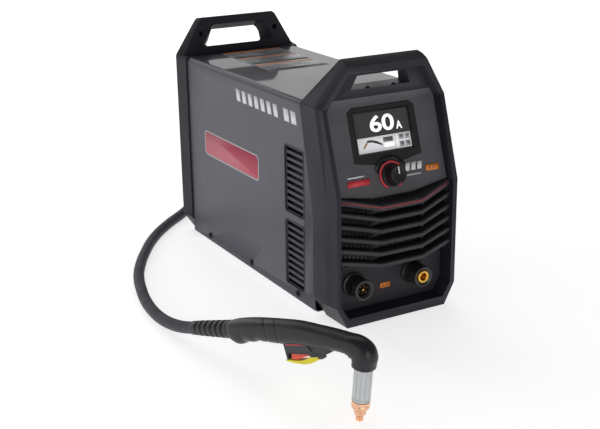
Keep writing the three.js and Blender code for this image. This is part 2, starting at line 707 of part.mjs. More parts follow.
// ---------------------------------------------------------------- torch
// Stations along the handle: [y, z, half width, half height, slope in degrees]. The
// slope is the direction of travel, 90 going straight up and -16 falling to the tail.
const HANDLE = [
  [-7.6, 80.5, 15.5, 15.9, 95], [-8.8, 89, 15.8, 16.8, 95], [-8.4, 98, 16, 19.2, 79],
  [-3.8, 105.6, 16.2, 21, 49], [8, 110, 16.3, 17, 18], [22, 110, 16.3, 14.4, 1],
  [47, 107.4, 16, 15, -7], [75, 102.8, 15.8, 16.4, -10], [112, 97.2, 15.6, 17.3, -13],
  [146, 88.6, 15.8, 18.3, -15], [181, 80.3, 16.5, 17.6, -15.5], [206, 73.6, 16.6, 17.4, -16],
  [231, 64.6, 16.6, 19.4, -17], [248, 60, 15.6, 17.6, -16.5], [257, 57.6, 14, 14.8, -16],
];

function handleRing([y, z, a, b, slope], count) {
  const up = new THREE.Vector3(0, -Math.sin(degrees(slope)), Math.cos(degrees(slope)));
  const ring = [];
  for (let i = 0; i < count; i++) {
    const angle = (i / count) * Math.PI * 2;
    const [c, s] = [Math.cos(angle), Math.sin(angle)];
    const [px, pv] = [a * Math.sign(c) * Math.abs(c) ** 0.85, b * Math.sign(s) * Math.abs(s) ** 0.85];
    ring.push([px, y + up.y * pv, z + up.z * pv]);
  }
  return ring;
}

// The trigger group under the handle: the housing, trigger and lever are drawn about
// TRIGGER.y and TRIGGER.z, the trigger's pivot.
const TRIGGER = { y: 90.5, z: 72.7 };

function besideTrigger(shape, half) {
  const geometry = prism('x', shape, -half, half);
  geometry.translate(0, TRIGGER.y, TRIGGER.z);
  return geometry;
}

function handleBody() {
  const body = loft(HANDLE.map((station) => handleRing(station, 16)));
  const housing = besideTrigger([[50.5, 2.8], [40.8, -24.2], [38.1, -22.6], [38.3, -11.4], [-1.5, -0.2],
    [-6.5, -2.6], [-14.5, 0.2], [-28.5, 5.8], [-43, 17], [-43, 24], [50.5, 16.8]], 9);
  const slot = besideTrigger([[37.7, -31.2], [37.7, -3.2], [-7.5, 7.8], [-7.5, -11.2]], 6.7);
  const leverSlot = besideTrigger([[-9, -11.2], [-9, 7.3], [-32.5, 10.8], [-32.5, -11.2]], 7.3);
  return solid(body).add(solid(housing)).subtract(solid(slot)).subtract(solid(leverSlot));
}

function handleHalf(name, side, body) {
  const seam = 0.15;
  const [x0, x1] = side < 0 ? [seam, 60] : [-60, -seam];
  const away = solid(box(x0 - (side < 0 ? 2 * seam : 0), x1 + (side < 0 ? 0 : 2 * seam), -80, 320, 20, 160));
  return part(name, geometryOf(body.subtract(away)), TORCH_PLASTIC);
}

function torchTrigger() {
  const shape = [[34.7, -21.2], [35.3, -10.2], [1.5, 3.2], [-3, 1.3], [-2, -2.6], [9.5, -9.2], [23.2, -19]];
  return part('torch_trigger', besideTrigger(shape, 6.2), TRIGGER_RED);
}

function safetyLever() {
  const shape = [
    [-23.5, 4.3], [-27, 1], [-22.5, -4.6], [-14.5, -10.8], [-4, -18.7], [5.5, -22.6], [18.5, -25.2],
    [32.5, -26.2], [46.1, -26.8], [46.1, -25.2], [32.5, -23.8], [23.5, -20.8], [9.5, -13.2],
    [-2.5, -5.8], [-12.5, -1.8], [-18.5, 3.8]];
  return part('torch_safety_lever', besideTrigger(shape, 6.9), LEVER_YELLOW);
}

const BOOT = { y: 258.3, z: 57.1, length: 96.8, slope: -15.9, ribs: 6, ribPitch: 13.4, gap: 2.8 };

function torchBoot() {
  const b = BOOT;
  const profile = [[0, 0]];
  for (let i = 0; i < b.ribs; i++) {
    const [start, radius] = [i * b.ribPitch, 14.3 - i * 0.42];
    const end = start + b.ribPitch - b.gap;
    profile.push([radius - 0.6, start], [radius, start + 1], [radius, end - 1], [radius - 0.6, end]);
    profile.push([radius - 3.6, end], [radius - 3.6, start + b.ribPitch]);
  }
  profile.push([11.6, b.ribs * b.ribPitch], [11.2, b.length], [0, b.length]);
  const boot = turned(profile, 16);
  boot.rotateX(-Math.PI / 2);
  boot.rotateX(degrees(b.slope));
  boot.translate(0, b.y, b.z);
  return part('torch_boot', boot, RUBBER);
}

function headStack() {
  const stack = new THREE.Group();
  stack.rotation.x = degrees(TORCH.capTilt);
  const nozzle = turned([
    [0, 0], [4.4, 0], [5, 1], [5, 8], [6, 8.6], [8.4, 9], [8.6, 10], [8.6, 17], [7.6, 19.4], [0, 19.4]], 20);
  const shield = turned([[9.4, 20], [11.4, 20], [12.8, 21.6], [12.8, 31.7], [9.4, 31.7], [9.4, 20]], 24);
  const cap = turned([[9.4, 32], [12.4, 32], [13, 33.4], [13, 76.4], [9.4, 76.4], [9.4, 32]], 24);
  const electrode = turned([[0, 21], [2.6, 21], [4.2, 23], [4.2, 40], [6, 42], [6, 75], [0, 75]], 16);
  stack.add(part('torch_nozzle', nozzle, COPPER));
  stack.add(part('torch_shield', shield, COPPER));
  stack.add(part('torch_retaining_cap', cap, CAP_GREY));
  stack.add(part('torch_electrode', electrode, COPPER));
  return stack;
}

function torch() {
  const group = new THREE.Group();
  group.position.set(TORCH.x, TORCH.y, TORCH.z);
  group.rotation.z = degrees(TORCH.turn);
  const body = handleBody();
  group.add(handleHalf('torch_handle_left', -1, body), handleHalf('torch_handle_right', 1, body));
  group.add(torchTrigger(), safetyLever(), torchBoot(), headStack());
  return group;
}

// ---------------------------------------------------------------- lead
// The free stretch of the lead, from the boot along the floor to the coil.
const LEAD_ROUTE = [
  [-341.4, 72.6, 30.9], [-346.7, 92, 25.5], [-350.6, 112, 21], [-353.2, 135, 17], [-354.6, 165, 13.4],
  [-353.4, 200, 11], [-347, 252, FLOOR_Z], [-332.5, 312, FLOOR_Z], [-312, 374, FLOOR_Z],
  [-290.5, 420, FLOOR_Z], [-253.5, 484, FLOOR_Z], [-204.5, 554, FLOOR_Z], [-150, 612, FLOOR_Z],
  [-99, 657, FLOOR_Z], [-56, 703, FLOOR_Z], [-15.4, 762, FLOOR_Z],
];

function roundTube(points, steps) {
  const path = new THREE.CatmullRomCurve3(points.map((p) => new THREE.Vector3(...p)), false, 'centripetal');
  const shape = new THREE.Shape();
  for (let i = 0; i < LEAD.sides; i++) {
    const angle = (i / LEAD.sides) * Math.PI * 2;
    const [u, v] = [LEAD.radius * Math.cos(angle), LEAD.radius * Math.sin(angle)];
    if (i === 0) shape.moveTo(u, v);
    else shape.lineTo(u, v);
  }
  return new THREE.ExtrudeGeometry(shape, { steps, bevelEnabled: false, extrudePath: path });
}

function leadCoil() {
  const c = COIL;
  const soft = 6;
  const ring = turned([[c.inner, soft], [c.inner + soft, 0.2], [c.outer - soft, 0.2], [c.outer, soft],
    [c.outer, c.height - soft], [c.outer - soft, c.height], [c.inner + soft, c.height],
    [c.inner, c.height - soft], [c.inner, soft]], 32);
  ring.translate(c.x, c.y, 0);
  return part('lead_coil', ring, RUBBER);
}

const PLUG = { length: 92, radius: 17 };

// The lead's last stretch lies on the coil, from its inner turn out to the plug.
const TAIL = { start: 250, sweep: 95, inner: 98, steps: 8 };

function tailRoute() {
  const points = [];
  for (let i = 0; i <= TAIL.steps; i++) {
    const t = i / TAIL.steps;
    const angle = degrees(TAIL.start - TAIL.sweep * t);
    const radius = TAIL.inner + (COIL.mid - TAIL.inner) * t;
    const lift = LEAD.radius + 0.6 + (PLUG.radius - LEAD.radius) * t;
    points.push([COIL.x + radius * Math.cos(angle), COIL.y + radius * Math.sin(angle), COIL.height + lift]);
  }
  return points;
}

function leadTail() {
  return part('lead_tail', roundTube(tailRoute(), 14), RUBBER);
}

function leadPlug() {
  const [before, end] = tailRoute().slice(-2).map((p) => new THREE.Vector3(...p));
  const along = end.clone().sub(before).setZ(0).normalize();
  const profile = [[0, 0], [11.5, 0], [13, 22], [15, 26], [15, 46], [PLUG.radius, 48], [PLUG.radius, 74],
    [15.2, 76], [15.2, PLUG.length], [12, PLUG.length], [12, 80], [0, 80]];
  const plug = turned(profile, 20);
  plug.applyQuaternion(new THREE.Quaternion().setFromUnitVectors(new THREE.Vector3(0, 0, 1), along));
  const start = end.clone().addScaledVector(along, 2.5);
  plug.translate(start.x, start.y, start.z);
  return part('lead_plug', plug, BLACK);
}

// ---------------------------------------------------------------- the whole object
function powerSource() {
  return [
    frontBezel(), controlPanel(), screenFrame(), displayModule(), dialRing(), controlKnob(), knobPointer(),
    encoderShaft(), encoderBody(), frontGrille(), grilleScreen(), trayPanel(), torchSocketBody(),
    torchSocketContacts(), workSocketBody(), workSocketContact(), wrapCover(), ...louvrePlates(),
    ...sideScrews(), basePan(), rearBezel(), ...handleScrews(), rearPanel(), fanFrame(), fanRotor(),
    fanGuard(), powerSwitch(), powerRocker(), mainsGland(), airInlet(), heatSink(), ...insides(),
  ];
}

const unit = new THREE.Group();
unit.position.y = -FOOT_MID;
unit.add(...powerSource());
unit.add(torch());
unit.add(part('torch_lead', roundTube(LEAD_ROUTE, 46), RUBBER), leadCoil(), leadTail(), leadPlug());
unit.updateMatrixWorld(true);

export default unit;
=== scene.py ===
"""Plasma cutter unit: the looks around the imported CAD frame.

Blender works in metres. Outlines and places are written in millimetres, and MM converts them.
"""
import json
from math import atan2, copysign, cos, pi, radians, sin

import bmesh
import bpy
from mathutils import Matrix, Vector


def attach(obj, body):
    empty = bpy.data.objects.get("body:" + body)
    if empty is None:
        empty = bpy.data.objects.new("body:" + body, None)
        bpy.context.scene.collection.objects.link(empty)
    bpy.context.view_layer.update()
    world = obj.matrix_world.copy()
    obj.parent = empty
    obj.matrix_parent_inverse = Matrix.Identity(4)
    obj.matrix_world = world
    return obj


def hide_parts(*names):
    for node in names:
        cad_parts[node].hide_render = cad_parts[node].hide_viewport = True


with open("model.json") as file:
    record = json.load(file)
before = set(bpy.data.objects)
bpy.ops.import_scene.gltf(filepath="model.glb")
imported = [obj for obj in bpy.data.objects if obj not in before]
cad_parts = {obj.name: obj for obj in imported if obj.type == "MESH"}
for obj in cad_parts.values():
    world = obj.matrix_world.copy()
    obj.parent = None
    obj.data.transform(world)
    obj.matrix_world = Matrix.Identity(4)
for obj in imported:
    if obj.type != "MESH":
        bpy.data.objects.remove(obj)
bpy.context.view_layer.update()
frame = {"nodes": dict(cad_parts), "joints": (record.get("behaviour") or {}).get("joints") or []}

MM = 0.001
FOOT_MID = 30 * MM  # the CAD's y runs from the front rim, and the row frame's origin is this far behind it
NODES = frame["nodes"]
JOINTS = {joint["name"]: joint for joint in frame["joints"]}
SIDES = (("left", -1), ("right", 1))


# --- colours and materials
def srgb(red, green, blue):
    def linear(value):
        value /= 255
        return value / 12.92 if value <= 0.04045 else ((value + 0.055) / 1.055) ** 2.4

    return (linear(red), linear(green), linear(blue), 1.0)


def shade(color, factor):
    return tuple(min(1.0, channel * factor) for channel in color[:3]) + (1.0,)


class Surface:
    """A Principled material with its own noise-driven colour, roughness and bump, sized in millimetres."""

    def __init__(self, color, roughness, metallic=0.0, specular=0.5):
        self.material = bpy.data.materials.new("surface")
        self.material.use_nodes = True
        self.tree = self.material.node_tree
        self.shader = self.tree.nodes["Principled BSDF"]
        self.color = color
        self.roughness = roughness
        self.bump = None
        self.feed(self.shader, {"Base Color": color, "Roughness": roughness, "Metallic": metallic,
                                "Specular IOR Level": specular})
        self.place = self.node("TexCoord").outputs["Object"]

    def feed(self, node, sockets):
        """Sets sockets to values, or links them where the value is another node's output."""
        for name, value in sockets.items():
            if isinstance(value, bpy.types.NodeSocket):
                self.tree.links.new(value, node.inputs[name])
            else:
                node.inputs[name].default_value = value

    def node(self, kind, sockets=None, **settings):
        made = self.tree.nodes.new("ShaderNode" + kind)
        for key, value in settings.items():
            setattr(made, key, value)
        self.feed(made, sockets or {})
        return made

    def noise(self, size, detail=4.0, stretch=(1, 1, 1)):
        mapped = self.node("Mapping", {"Vector": self.place, "Scale": stretch}).outputs["Vector"]
        settings = {"Vector": mapped, "Scale": 1 / (size * MM), "Detail": detail, "Roughness": 0.55}
        return self.node("TexNoise", settings).outputs["Fac"]

    def cells(self, size):
        texture = self.node("TexVoronoi", {"Vector": self.place, "Scale": 1 / (size * MM)})
        return texture.outputs["Distance"]

    def spread(self, value, low, high, to_low, to_high):
        """A value's range mapped to another range."""
        ranges = {"From Min": low, "From Max": high, "To Min": to_low, "To Max": to_high}
        return self.node("MapRange", {"Value": value, **ranges}).outputs["Result"]

    def mix_base(self, color, other, amount):
        mix = self.node("Mix", {"A": color, "B": other, "Factor": amount}, data_type="RGBA")
        self.base = mix.outputs["Result"]
        self.feed(self.shader, {"Base Color": self.base})

    def mottle(self, size, amount):
        """Blotches of a slightly lighter and a slightly darker tone."""
        blotches = self.spread(self.noise(size), 0.3, 0.7, 0, 1)
        self.mix_base(shade(self.color, 1 - amount), shade(self.color, 1 + amount), blotches)

    def uneven(self, size, amount):
        """Roughness that wanders around its middle value."""
        low, high = max(0.02, self.roughness - amount), min(1, self.roughness + amount)
        self.feed(self.shader, {"Roughness": self.spread(self.noise(size), 0.3, 0.7, low, high)})

    def grain(self, height, depth):
        """Bump from a height, on top of any bump before it."""
        bump = self.node("Bump", {"Height": height, "Distance": depth * MM, "Strength": 1.0})
        if self.bump is not None:
            self.feed(bump, {"Normal": self.bump})
        self.bump = bump.outputs["Normal"]
        self.feed(self.shader, {"Normal": self.bump})

    def wear_and_edge_highlight(self, color, amount):
        """Sharply convex edges turned to another colour: partly rubbed wear, partly a painted highlight
        along the edges.
        """
        edge = self.node("NewGeometry").outputs["Pointiness"]
        self.mix_base(self.base, color, self.spread(edge, 0.53, 0.6, 0, amount))


def moulded(color, roughness=0.55, grain_size=1.1, depth=0.09, specular=0.45, wear_and_highlight=1.9):
    """Spark-textured moulded plastic, paler at its sharp edges: partly rubbed wear, partly a painted
    highlight.
    """
    made = Surface(color, roughness, specular=specular)
    made.mottle(35, 0.1)
    made.uneven(60, 0.06)
    made.grain(made.noise(grain_size, 2.0), depth)
    made.wear_and_edge_highlight(shade(color, wear_and_highlight), 0.45)
    return made.material


def powder_coat():
    """Satin on the sides and polished on top, where hands and cloths pass."""
    made = Surface(srgb(60, 60, 72), 0.45, specular=0.15)
    made.mottle(90, 0.05)
    made.uneven(120, 0.05)
    made.grain(made.noise(2.2, 1.0), 0.05)
    made.grain(made.cells(0.9), 0.02)
    # pale sharp edges: partly rubbed paint, partly a painted highlight
    made.wear_and_edge_highlight(srgb(140, 140, 146), amount=0.3)
    normal = made.node("TexCoord").outputs["Normal"]
    upward = made.node("SeparateXYZ", {"Vector": normal}).outputs["Z"]
    made.feed(made.shader, {"Coat Weight": made.spread(upward, 0.2, 0.9, 0.1, 0.6),
                            "Coat Roughness": made.spread(upward, 0.2, 0.9, 0.34, 0.05)})
    return made.material


def metal(color, roughness, brushed=(1, 1, 1), depth=0.03):
    made = Surface(color, roughness, metallic=1.0)
    made.mottle(12, 0.1)
    made.uneven(8, 0.08)
    made.grain(made.noise(0.5, 3.0, brushed), depth)
    return made.material


def rubber(color, roughness=0.62):
    made = Surface(color, roughness, specular=0.4)
    made.mottle(30, 0.14)
    made.uneven(20, 0.08)
    made.grain(made.noise(1.5, 4.0), 0.12)
    # paler sharp edges, such as the boot's rib tops: partly wear, partly a painted highlight
    made.wear_and_edge_highlight(shade(color, 1.6), amount=0.35)
    return made.material


def printed(color, roughness=0.4):
    made = Surface(color, roughness)
    made.mottle(6, 0.05)
    made.uneven(10, 0.05)
    made.grain(made.noise(0.6, 2.0), 0.01)
    return made.material


def lit(color, strength):
    made = Surface(color, 0.3)
    made.mottle(5, 0.03)
    made.feed(made.shader, {"Emission Color": color, "Emission Strength": strength})
    return made.material


def circuit_board():
    made = Surface(srgb(22, 78, 45), 0.4)
    made.mottle(3, 0.3)
    made.grain(made.cells(4), 0.1)
    return made.material


def floor_paint():
    """Pale studio floor, lit from within so that its far side is as pale as its near side."""
    made = Surface((0.93, 0.93, 0.93, 1), 0.75, specular=0.2)
    made.mottle(1200, 0.008)
    made.feed(made.shader, {"Emission Color": (1, 1, 1, 1), "Emission Strength": 0.66})
    return made.material


MATERIALS = {
    "coat": powder_coat(),
    # the bezel's sharp edges are lightened most: partly wear, partly a painted highlight along the rounded
    # rim
    "bezel": moulded(srgb(39, 38, 45), 0.47, specular=0.2, wear_and_highlight=2.8),
    "panel": moulded(srgb(82, 80, 85), 0.52, 0.9, 0.06),
    "grille": moulded(srgb(48, 44, 49), 0.5, specular=0.3),
    "tray": moulded(srgb(41, 38, 43), 0.58, specular=0.3),
    # dark tone for the thin ring round each louvre window, painted shade of its pressed crease
    "louvre": moulded(srgb(34, 34, 38), 0.5),
    "black": moulded(srgb(22, 21, 22), 0.42, 0.8, 0.04),
    "frame_black": moulded(srgb(29, 28, 30), 0.38, 0.8, 0.03),
    "knob": moulded(srgb(24, 23, 24), 0.4, 0.7, 0.04),
    "torch": moulded(srgb(31, 31, 36), 0.35, 1.0, 0.04, 0.36),
    "torch_dark": moulded(srgb(46, 48, 53), 0.4, 0.8, 0.03),
    # near black, painted shade: put where only shadow falls, inside the louvres and in the boot's rib gaps
    "painted_shade_black": moulded(srgb(14, 14, 16), 0.7),
    "cap": moulded(srgb(188, 191, 193), 0.42, 0.8, 0.03),
    "red": printed(srgb(216, 62, 72)),
    "pinstripe": printed(srgb(150, 34, 46)),
    "trigger": moulded(srgb(226, 78, 44), 0.4, 0.8, 0.03),
    "lever": moulded(srgb(232, 218, 40), 0.4, 0.8, 0.03),
    "white": printed(srgb(226, 226, 228)),
    "orange": printed(srgb(224, 128, 40)),
    "grey_print": printed(srgb(120, 120, 124)),
    "pale_print": printed(srgb(186, 187, 190)),
    "tan_print": printed(srgb(196, 168, 132)),
    "mesh_grey": moulded(srgb(24, 23, 25), 0.5, 0.7, 0.03),
    "socket": moulded(srgb(35, 34, 36), 0.34, 0.7, 0.03),
    "lcd": lit(srgb(58, 58, 60), 0.25),
    "lcd_light": lit(srgb(206, 207, 209), 0.45),
    "lcd_white": lit(srgb(250, 250, 250), 0.7),
    "brass": metal(srgb(222, 172, 78), 0.24),
    "copper": metal(srgb(238, 188, 154), 0.14),
    "steel": metal(srgb(150, 152, 156), 0.34),
    "dark_steel": metal(srgb(46, 46, 50), 0.4),
    "aluminium": metal(srgb(178, 180, 184), 0.38, (1, 0.1, 1)),
    "cable": rubber(srgb(66, 66, 74)),
    "boot": rubber(srgb(42, 42, 47), 0.46),
    "band_red": printed(srgb(196, 84, 104)),
    "label": printed(srgb(166, 168, 174), 0.3),
    "label_dark": printed(srgb(92, 94, 100), 0.3),
    "board": circuit_board(),
    "floor": floor_paint(),
}
for key, material in MATERIALS.items():
    material.name = key


# --- mesh tools
def new_object(name, data):
    made = bpy.data.objects.new(name, data)
    bpy.context.scene.collection.objects.link(made)
    return made


def make_object(name, bm, material):
    bmesh.ops.recalc_face_normals(bm, faces=bm.faces)
    mesh = bpy.data.meshes.new(name)
    bm.to_mesh(mesh)
    bm.free()
    mesh.shade_smooth()
    mesh.materials.append(MATERIALS[material])
    return new_object(name, mesh)


def soften(obj, width, segments=2, angle=30):
    """Rounds the edges, by a width in millimetres, and shades the flats as flats."""
    bevel = obj.modifiers.new("rounded_edges", "BEVEL")
    bevel.width = width * MM
    bevel.segments = segments
    bevel.limit_method = "ANGLE"
    bevel.angle_limit = radians(angle)
    bevel.use_clamp_overlap = True
    normals = obj.modifiers.new("flat_faces", "WEIGHTED_NORMAL")
    normals.keep_sharp = True
    return obj


def piece(obj, body="root", replaces=()):
    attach(obj, body)
    if replaces:
        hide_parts(*replaces)
    return obj


def shift(x, y, z):
    return Matrix.Translation((x * MM, y * MM, z * MM))


def spin(degrees, axis):
    return Matrix.Rotation(radians(degrees), 4, axis)


def in_row_frame(point):
    """A CAD point, in millimetres from the front rim, in the row frame."""
    return Vector(point) * MM - Vector((0, FOOT_MID, 0))


def at(x, y, z):
    """A placement at a CAD point."""
    return Matrix.Translation(in_row_frame((x, y, z)))


def pointing(direction, at):
    """A placement whose +Z runs along a direction from a point, both in the row frame."""
    return Matrix.Translation(at) @ Vector(direction).to_track_quat("Z", "Y").to_matrix().to_4x4()


def skin(bm, rings, caps=True, closed=False):
    """Faces between rings of points, where a ring may be a single point."""
    made = [[bm.verts.new(point) for point in ring] for ring in rings]
    count = max(len(ring) for ring in made)
    pairs = list(zip(made, made[1:])) + ([(made[-1], made[0])] if closed else [])
    for low, high in pairs:
        for i in range(count):
            j = (i + 1) % count
            corners = [low[i % len(low)], low[j % len(low)], high[j % len(high)], high[i % len(high)]]
            unique = list(dict.fromkeys(corners))
            if len(unique) > 2:
                bm.faces.new(unique)
    if caps:
        bm.faces.new(made[0])
        bm.faces.new(list(reversed(made[-1])))


def lathe(name, profile, material, place=Matrix(), segments=64, closed=False, flute=None):
    """Turns a profile of [radius, height] about +Z of a placement.

    flute is (count, depth, low, high): grooves between two heights.
    """
    rings = []
    for radius, height in profile:
        ring = []
        for i in range(segments if radius else 1):
            angle = 2 * pi * i / segments
            reach = radius
            if radius and flute and flute[2] <= height <= flute[3]:
                reach -= flute[1] * max(0, cos(flute[0] * angle)) ** 0.7
            ring.append((reach * MM * cos(angle), reach * MM * sin(angle), height * MM))
        rings.append(ring)
    bm = bmesh.new()
    skin(bm, rings, False, closed)
    bm.transform(place)
    return make_object(name, bm, material)


def turned(name, profile, material, place, segments, slot=None, replaces=None, **shape):
    """A lathed piece, which may stand for a CAD node."""
    made = lathe(name, profile, material, place, segments, **shape)
    piece(made, replaces=[replaces] if replaces else ())


def flat_mesh(data):
    """The mesh of a curve or a text."""
    holder = bpy.data.objects.new(data.name, data)
    mesh = bpy.data.meshes.new_from_object(holder)
    bpy.data.objects.remove(holder)
    return mesh


def slab(name, outline, low, high, material, place=Matrix(), holes=()):
    """A slab of an outline in (x, z), between two depths along y."""
    curve = bpy.data.curves.new(name, "CURVE")
    curve.dimensions = "2D"
    curve.fill_mode = "BOTH"
    for points in [outline, *holes]:
        spline = curve.splines.new("POLY")
        spline.points.add(len(points) - 1)
        for point, (x, z) in zip(spline.points, points):
            point.co = (x * MM, z * MM, 0, 1)
        spline.use_cyclic_u = True
    curve.extrude = (high - low) * MM / 2
    bm = bmesh.new()
    bm.from_mesh(flat_mesh(curve))
    bmesh.ops.remove_doubles(bm, verts=bm.verts, dist=1e-6)
    bmesh.ops.dissolve_limit(bm, angle_limit=0.01, verts=bm.verts, edges=bm.edges)
    bm.transform(spin(90, "X"))
    bm.transform(shift(0, (low + high) / 2, 0))
    bm.transform(place)
    return make_object(name, bm, material)


def arc(radius, start, end, steps, x=0, z=0):
    points = []
    for i in range(steps + 1):
        angle = radians(start + (end - start) * i / steps)
        points.append((x + radius * cos(angle), z + radius * sin(angle)))
    return points


def circle(radius, x=0, z=0):
    return arc(radius, 0, 345, 23, x, z)


def hexagon(flat_radius):
    return arc(flat_radius / cos(pi / 6), 0, 300, 5)


def rounded(x0, x1, z0, z1, radius, steps=5):
    points = []
    corners = [(x1 - radius, z1 - radius, 0), (x0 + radius, z1 - radius, 90),
               (x0 + radius, z0 + radius, 180), (x1 - radius, z0 + radius, 270)]
    for x, z, start in corners:
        points += arc(radius, start, start + 90, steps, x, z)
    return points


def lettering(name, body, box, material, place):
    """A generic figure in the built-in font, fitted to a box of x0, x1, z0, z1."""
    curve = bpy.data.curves.new(name, "FONT")
    curve.body = body
    curve.offset = 0.022
    curve.extrude = 0.5
    mesh = flat_mesh(curve)
    x0, x1, z0, z1 = box
    low = [min(v.co[i] for v in mesh.vertices) for i in range(2)]
    high = [max(v.co[i] for v in mesh.vertices) for i in range(2)]
    across, up = (x1 - x0) * MM / (high[0] - low[0]), (z1 - z0) * MM / (high[1] - low[1])
    fit = Matrix.Diagonal((across, up, PRINT * MM, 1))
    bm = bmesh.new()
    bm.from_mesh(mesh)
    bmesh.ops.remove_doubles(bm, verts=bm.verts, dist=1e-5)
    bm.transform(shift(x0, z0, 0) @ fit @ Matrix.Translation((-low[0], -low[1], 0)))
    bm.transform(spin(90, "X"))
    bm.transform(place)
    return make_object(name, bm, material)


def slanted_bar(x0, x1, z0, z1, slant=0.3):
    lean = slant * (z1 - z0)
    return [(x0, z0), (x1, z0), (x1 + lean, z1), (x0 + lean, z1)]


def ease(value):
    value = min(1, max(0, value))
    return value * value * (3 - 2 * value)


# --- places taken from the frame
knob_joint = JOINTS["knob_turn"]
console_normal = Vector(knob_joint["axis"]).normalized()
console_up = Vector((1, 0, 0)).cross(-console_normal)
CONSOLE = Matrix.Translation(knob_joint["pos_m"]) @ Matrix((
    (1, 0, 0), tuple(-console_normal), tuple(console_up))).transposed().to_4x4()

trigger_joint = JOINTS["trigger_squeeze"]
TRIGGER_PIVOT = Vector((0, 90.5, 72.7)) * MM  # in the torch's own frame
torch_spin = Matrix.Rotation(atan2(trigger_joint["axis"][1], trigger_joint["axis"][0]), 4, "Z")
TORCH = Matrix.Translation(Vector(trigger_joint["pos_m"]) - torch_spin @ TRIGGER_PIVOT) @ torch_spin
CAP_TILT = 5.2  # degrees, between the handle and the retaining cap
STACK = TORCH @ spin(CAP_TILT, "X")


# --- CAD nodes that stay
def dress(names, material, bevel, segments=2, angle=30):
    """Gives CAD nodes a material and rounded edges."""
    for name in names.split():
        obj = NODES[name]
        mesh = obj.data
        mesh.materials.clear()
        mesh.materials.append(MATERIALS[material])
        if "custom_normal" in mesh.attributes:
            mesh.attributes.remove(mesh.attributes["custom_normal"])
        mesh.shade_smooth()
        weld = obj.modifiers.new("joined_corners", "WELD")
        weld.merge_threshold = 1e-5
        flat = obj.modifiers.new("whole_faces", "DECIMATE")
        flat.decimate_type = "DISSOLVE"
        flat.angle_limit = radians(1.2)
        soften(obj, bevel, segments, angle)


DRESSING = [  # nodes, material, width of the rounded edges, segments, angle
    ("front_bezel rear_bezel", "bezel", 2.4, 4, 20),
    ("wrap_cover", "coat", 0.5, 2),
    ("control_panel", "panel", 0.9, 3),
    ("screen_frame", "frame_black", 0.7),
    ("display_module", "lcd", 0.3),
    ("front_grille", "grille", 0.9, 3, 20),
    ("grille_screen", "black", 0.2),
    ("connector_panel", "tray", 0.6),
    ("base_pan", "steel", 0.4),
    ("rear_panel", "panel", 0.5),
    ("dial_ring", "red", 0.15),
    ("knob_pointer", "white", 0.4),
    ("fan_frame capacitor_1 capacitor_2", "black", 0.6),
    ("fan_rotor", "black", 0.3),
    ("fan_guard", "dark_steel", 0.4),
    ("power_switch_body", "black", 0.8),
    ("power_switch_rocker", "red", 0.8, 3),
    ("encoder_body control_board power_board", "board", 0.2),
    ("encoder_shaft transformer", "steel", 0.2),
    ("output_inductor", "copper", 0.6),
    ("heat_sink", "aluminium", 0.2),
    ("air_valve", "brass", 0.6),
    ("torch_electrode", "copper", 0.2),
]


# --- console
PRINT = 0.12  # thickness of a printed mark
SCREEN_FACE = 5.5  # depth of the display's face behind the panel
FRAME_FACE = 1.5  # depth of the screen surround's face behind the panel


def mark(name, outline, depth, material, thick=PRINT, holes=()):
    """A thin shape that stands just off a console surface at a depth."""
    made = slab(name, outline, depth - thick - 0.06, depth - 0.06, material, CONSOLE, holes)
    return piece(made)


def display():
    """A lit display with a figure, a light strip and plain pictures."""
    low, high, divider = 41, 66, 25
    top = SCREEN_FACE - 0.14
    strip = rounded(-52.2, 52.2, low, high, 0.8)
    grip = [(-35, 58.6), (-32, 61.2), (-24, 61.2), (-14, 58.2), (-4, 52.2), (-5.4, 50.4), (-14, 54),
            (-24, 57.2), (-31, 57.6)]
    tip = [(-35, 58.2), (-32, 56.6), (-39.4, 48), (-43, 50)]
    line = slanted_bar(divider, divider + 0.9, low + 1, high - 1, 0)
    mark("display_strip", strip, SCREEN_FACE, "lcd_light")
    raised = CONSOLE @ shift(0, SCREEN_FACE - 0.16, 0)
    piece(lettering("display_reading", "60", (-23, 24, 73, 100.4), "lcd_white", raised))
    piece(lettering("display_unit", "A", (27, 38.6, 73, 86.4), "lcd_white", raised))
    mark("display_icon_grip", grip, top, "lcd")
    mark("display_icon_tip", tip, top, "tan_print")
    mark("display_bar", rounded(-2, 17, 55, 62.6, 0.8), top, "grey_print")
    mark("display_box", rounded(-1, 18.6, 46.6, 52.8, 0.8), top, "lcd_white")
    mark("display_divider", line, top, "lcd_white")
    for column, x in enumerate((29, 40.6)):
        for row, z in enumerate((43.4, 55.4)):
            key = rounded(x, x + 9.4, z, z + 8.6, 1)
            mark(f"display_key_{column}_{row}", key, top, "pale_print")
            mark(f"display_key_dot_{column}_{row}", circle(1.9, x + 4.7, z + 4.3), top - PRINT, "grey_print")


def screen_surround():
    """The lip round the window, and a dark crescent over the dial: a thin black slab that is painted shade.
    """
    outer, inner = 33.5, 24.6
    crescent = arc(outer, 22, 158, 24) + arc(inner, 170, 10, 30)
    mark("dial_painted_shade", crescent, FRAME_FACE, "black", 0.9)
    half, low, high, lip = 55.4, 38.2, 108.2, 1.5
    edge = rounded(-half, half, low, high, 2)
    hole = rounded(-half + lip, half - lip, low + lip, high - lip, 1)
    mark("screen_lip", edge, FRAME_FACE, "frame_black", 0.7, [hole])


def console_prints():
    """Plain bars where such a unit carries its names."""
    mark("left_print_bar", slanted_bar(-86, -44, -9, 1, 0.2), 0, "red")
    mark("left_print_line", slanted_bar(-84, -52, 5, 7.4, 0.2), 0, "white")
    for i in range(3):
        mark(f"right_print_bar_{i}", slanted_bar(27 + i * 12, 36 + i * 12, 2, 15, 0.25), 0, "white")
    mark("right_print_line", slanted_bar(26, 58, -6.4, -3.4, 0.25), 0, "pale_print")
    mark("right_print_pill", rounded(68, 95, -4, 6, 2.2), 0, "orange")
    for i in range(2):
        notch = slanted_bar(75 + i * 7, 77 + i * 7, -1.6, 3.6, 0.3)
        mark(f"right_print_notch_{i}", notch, -PRINT, "panel")


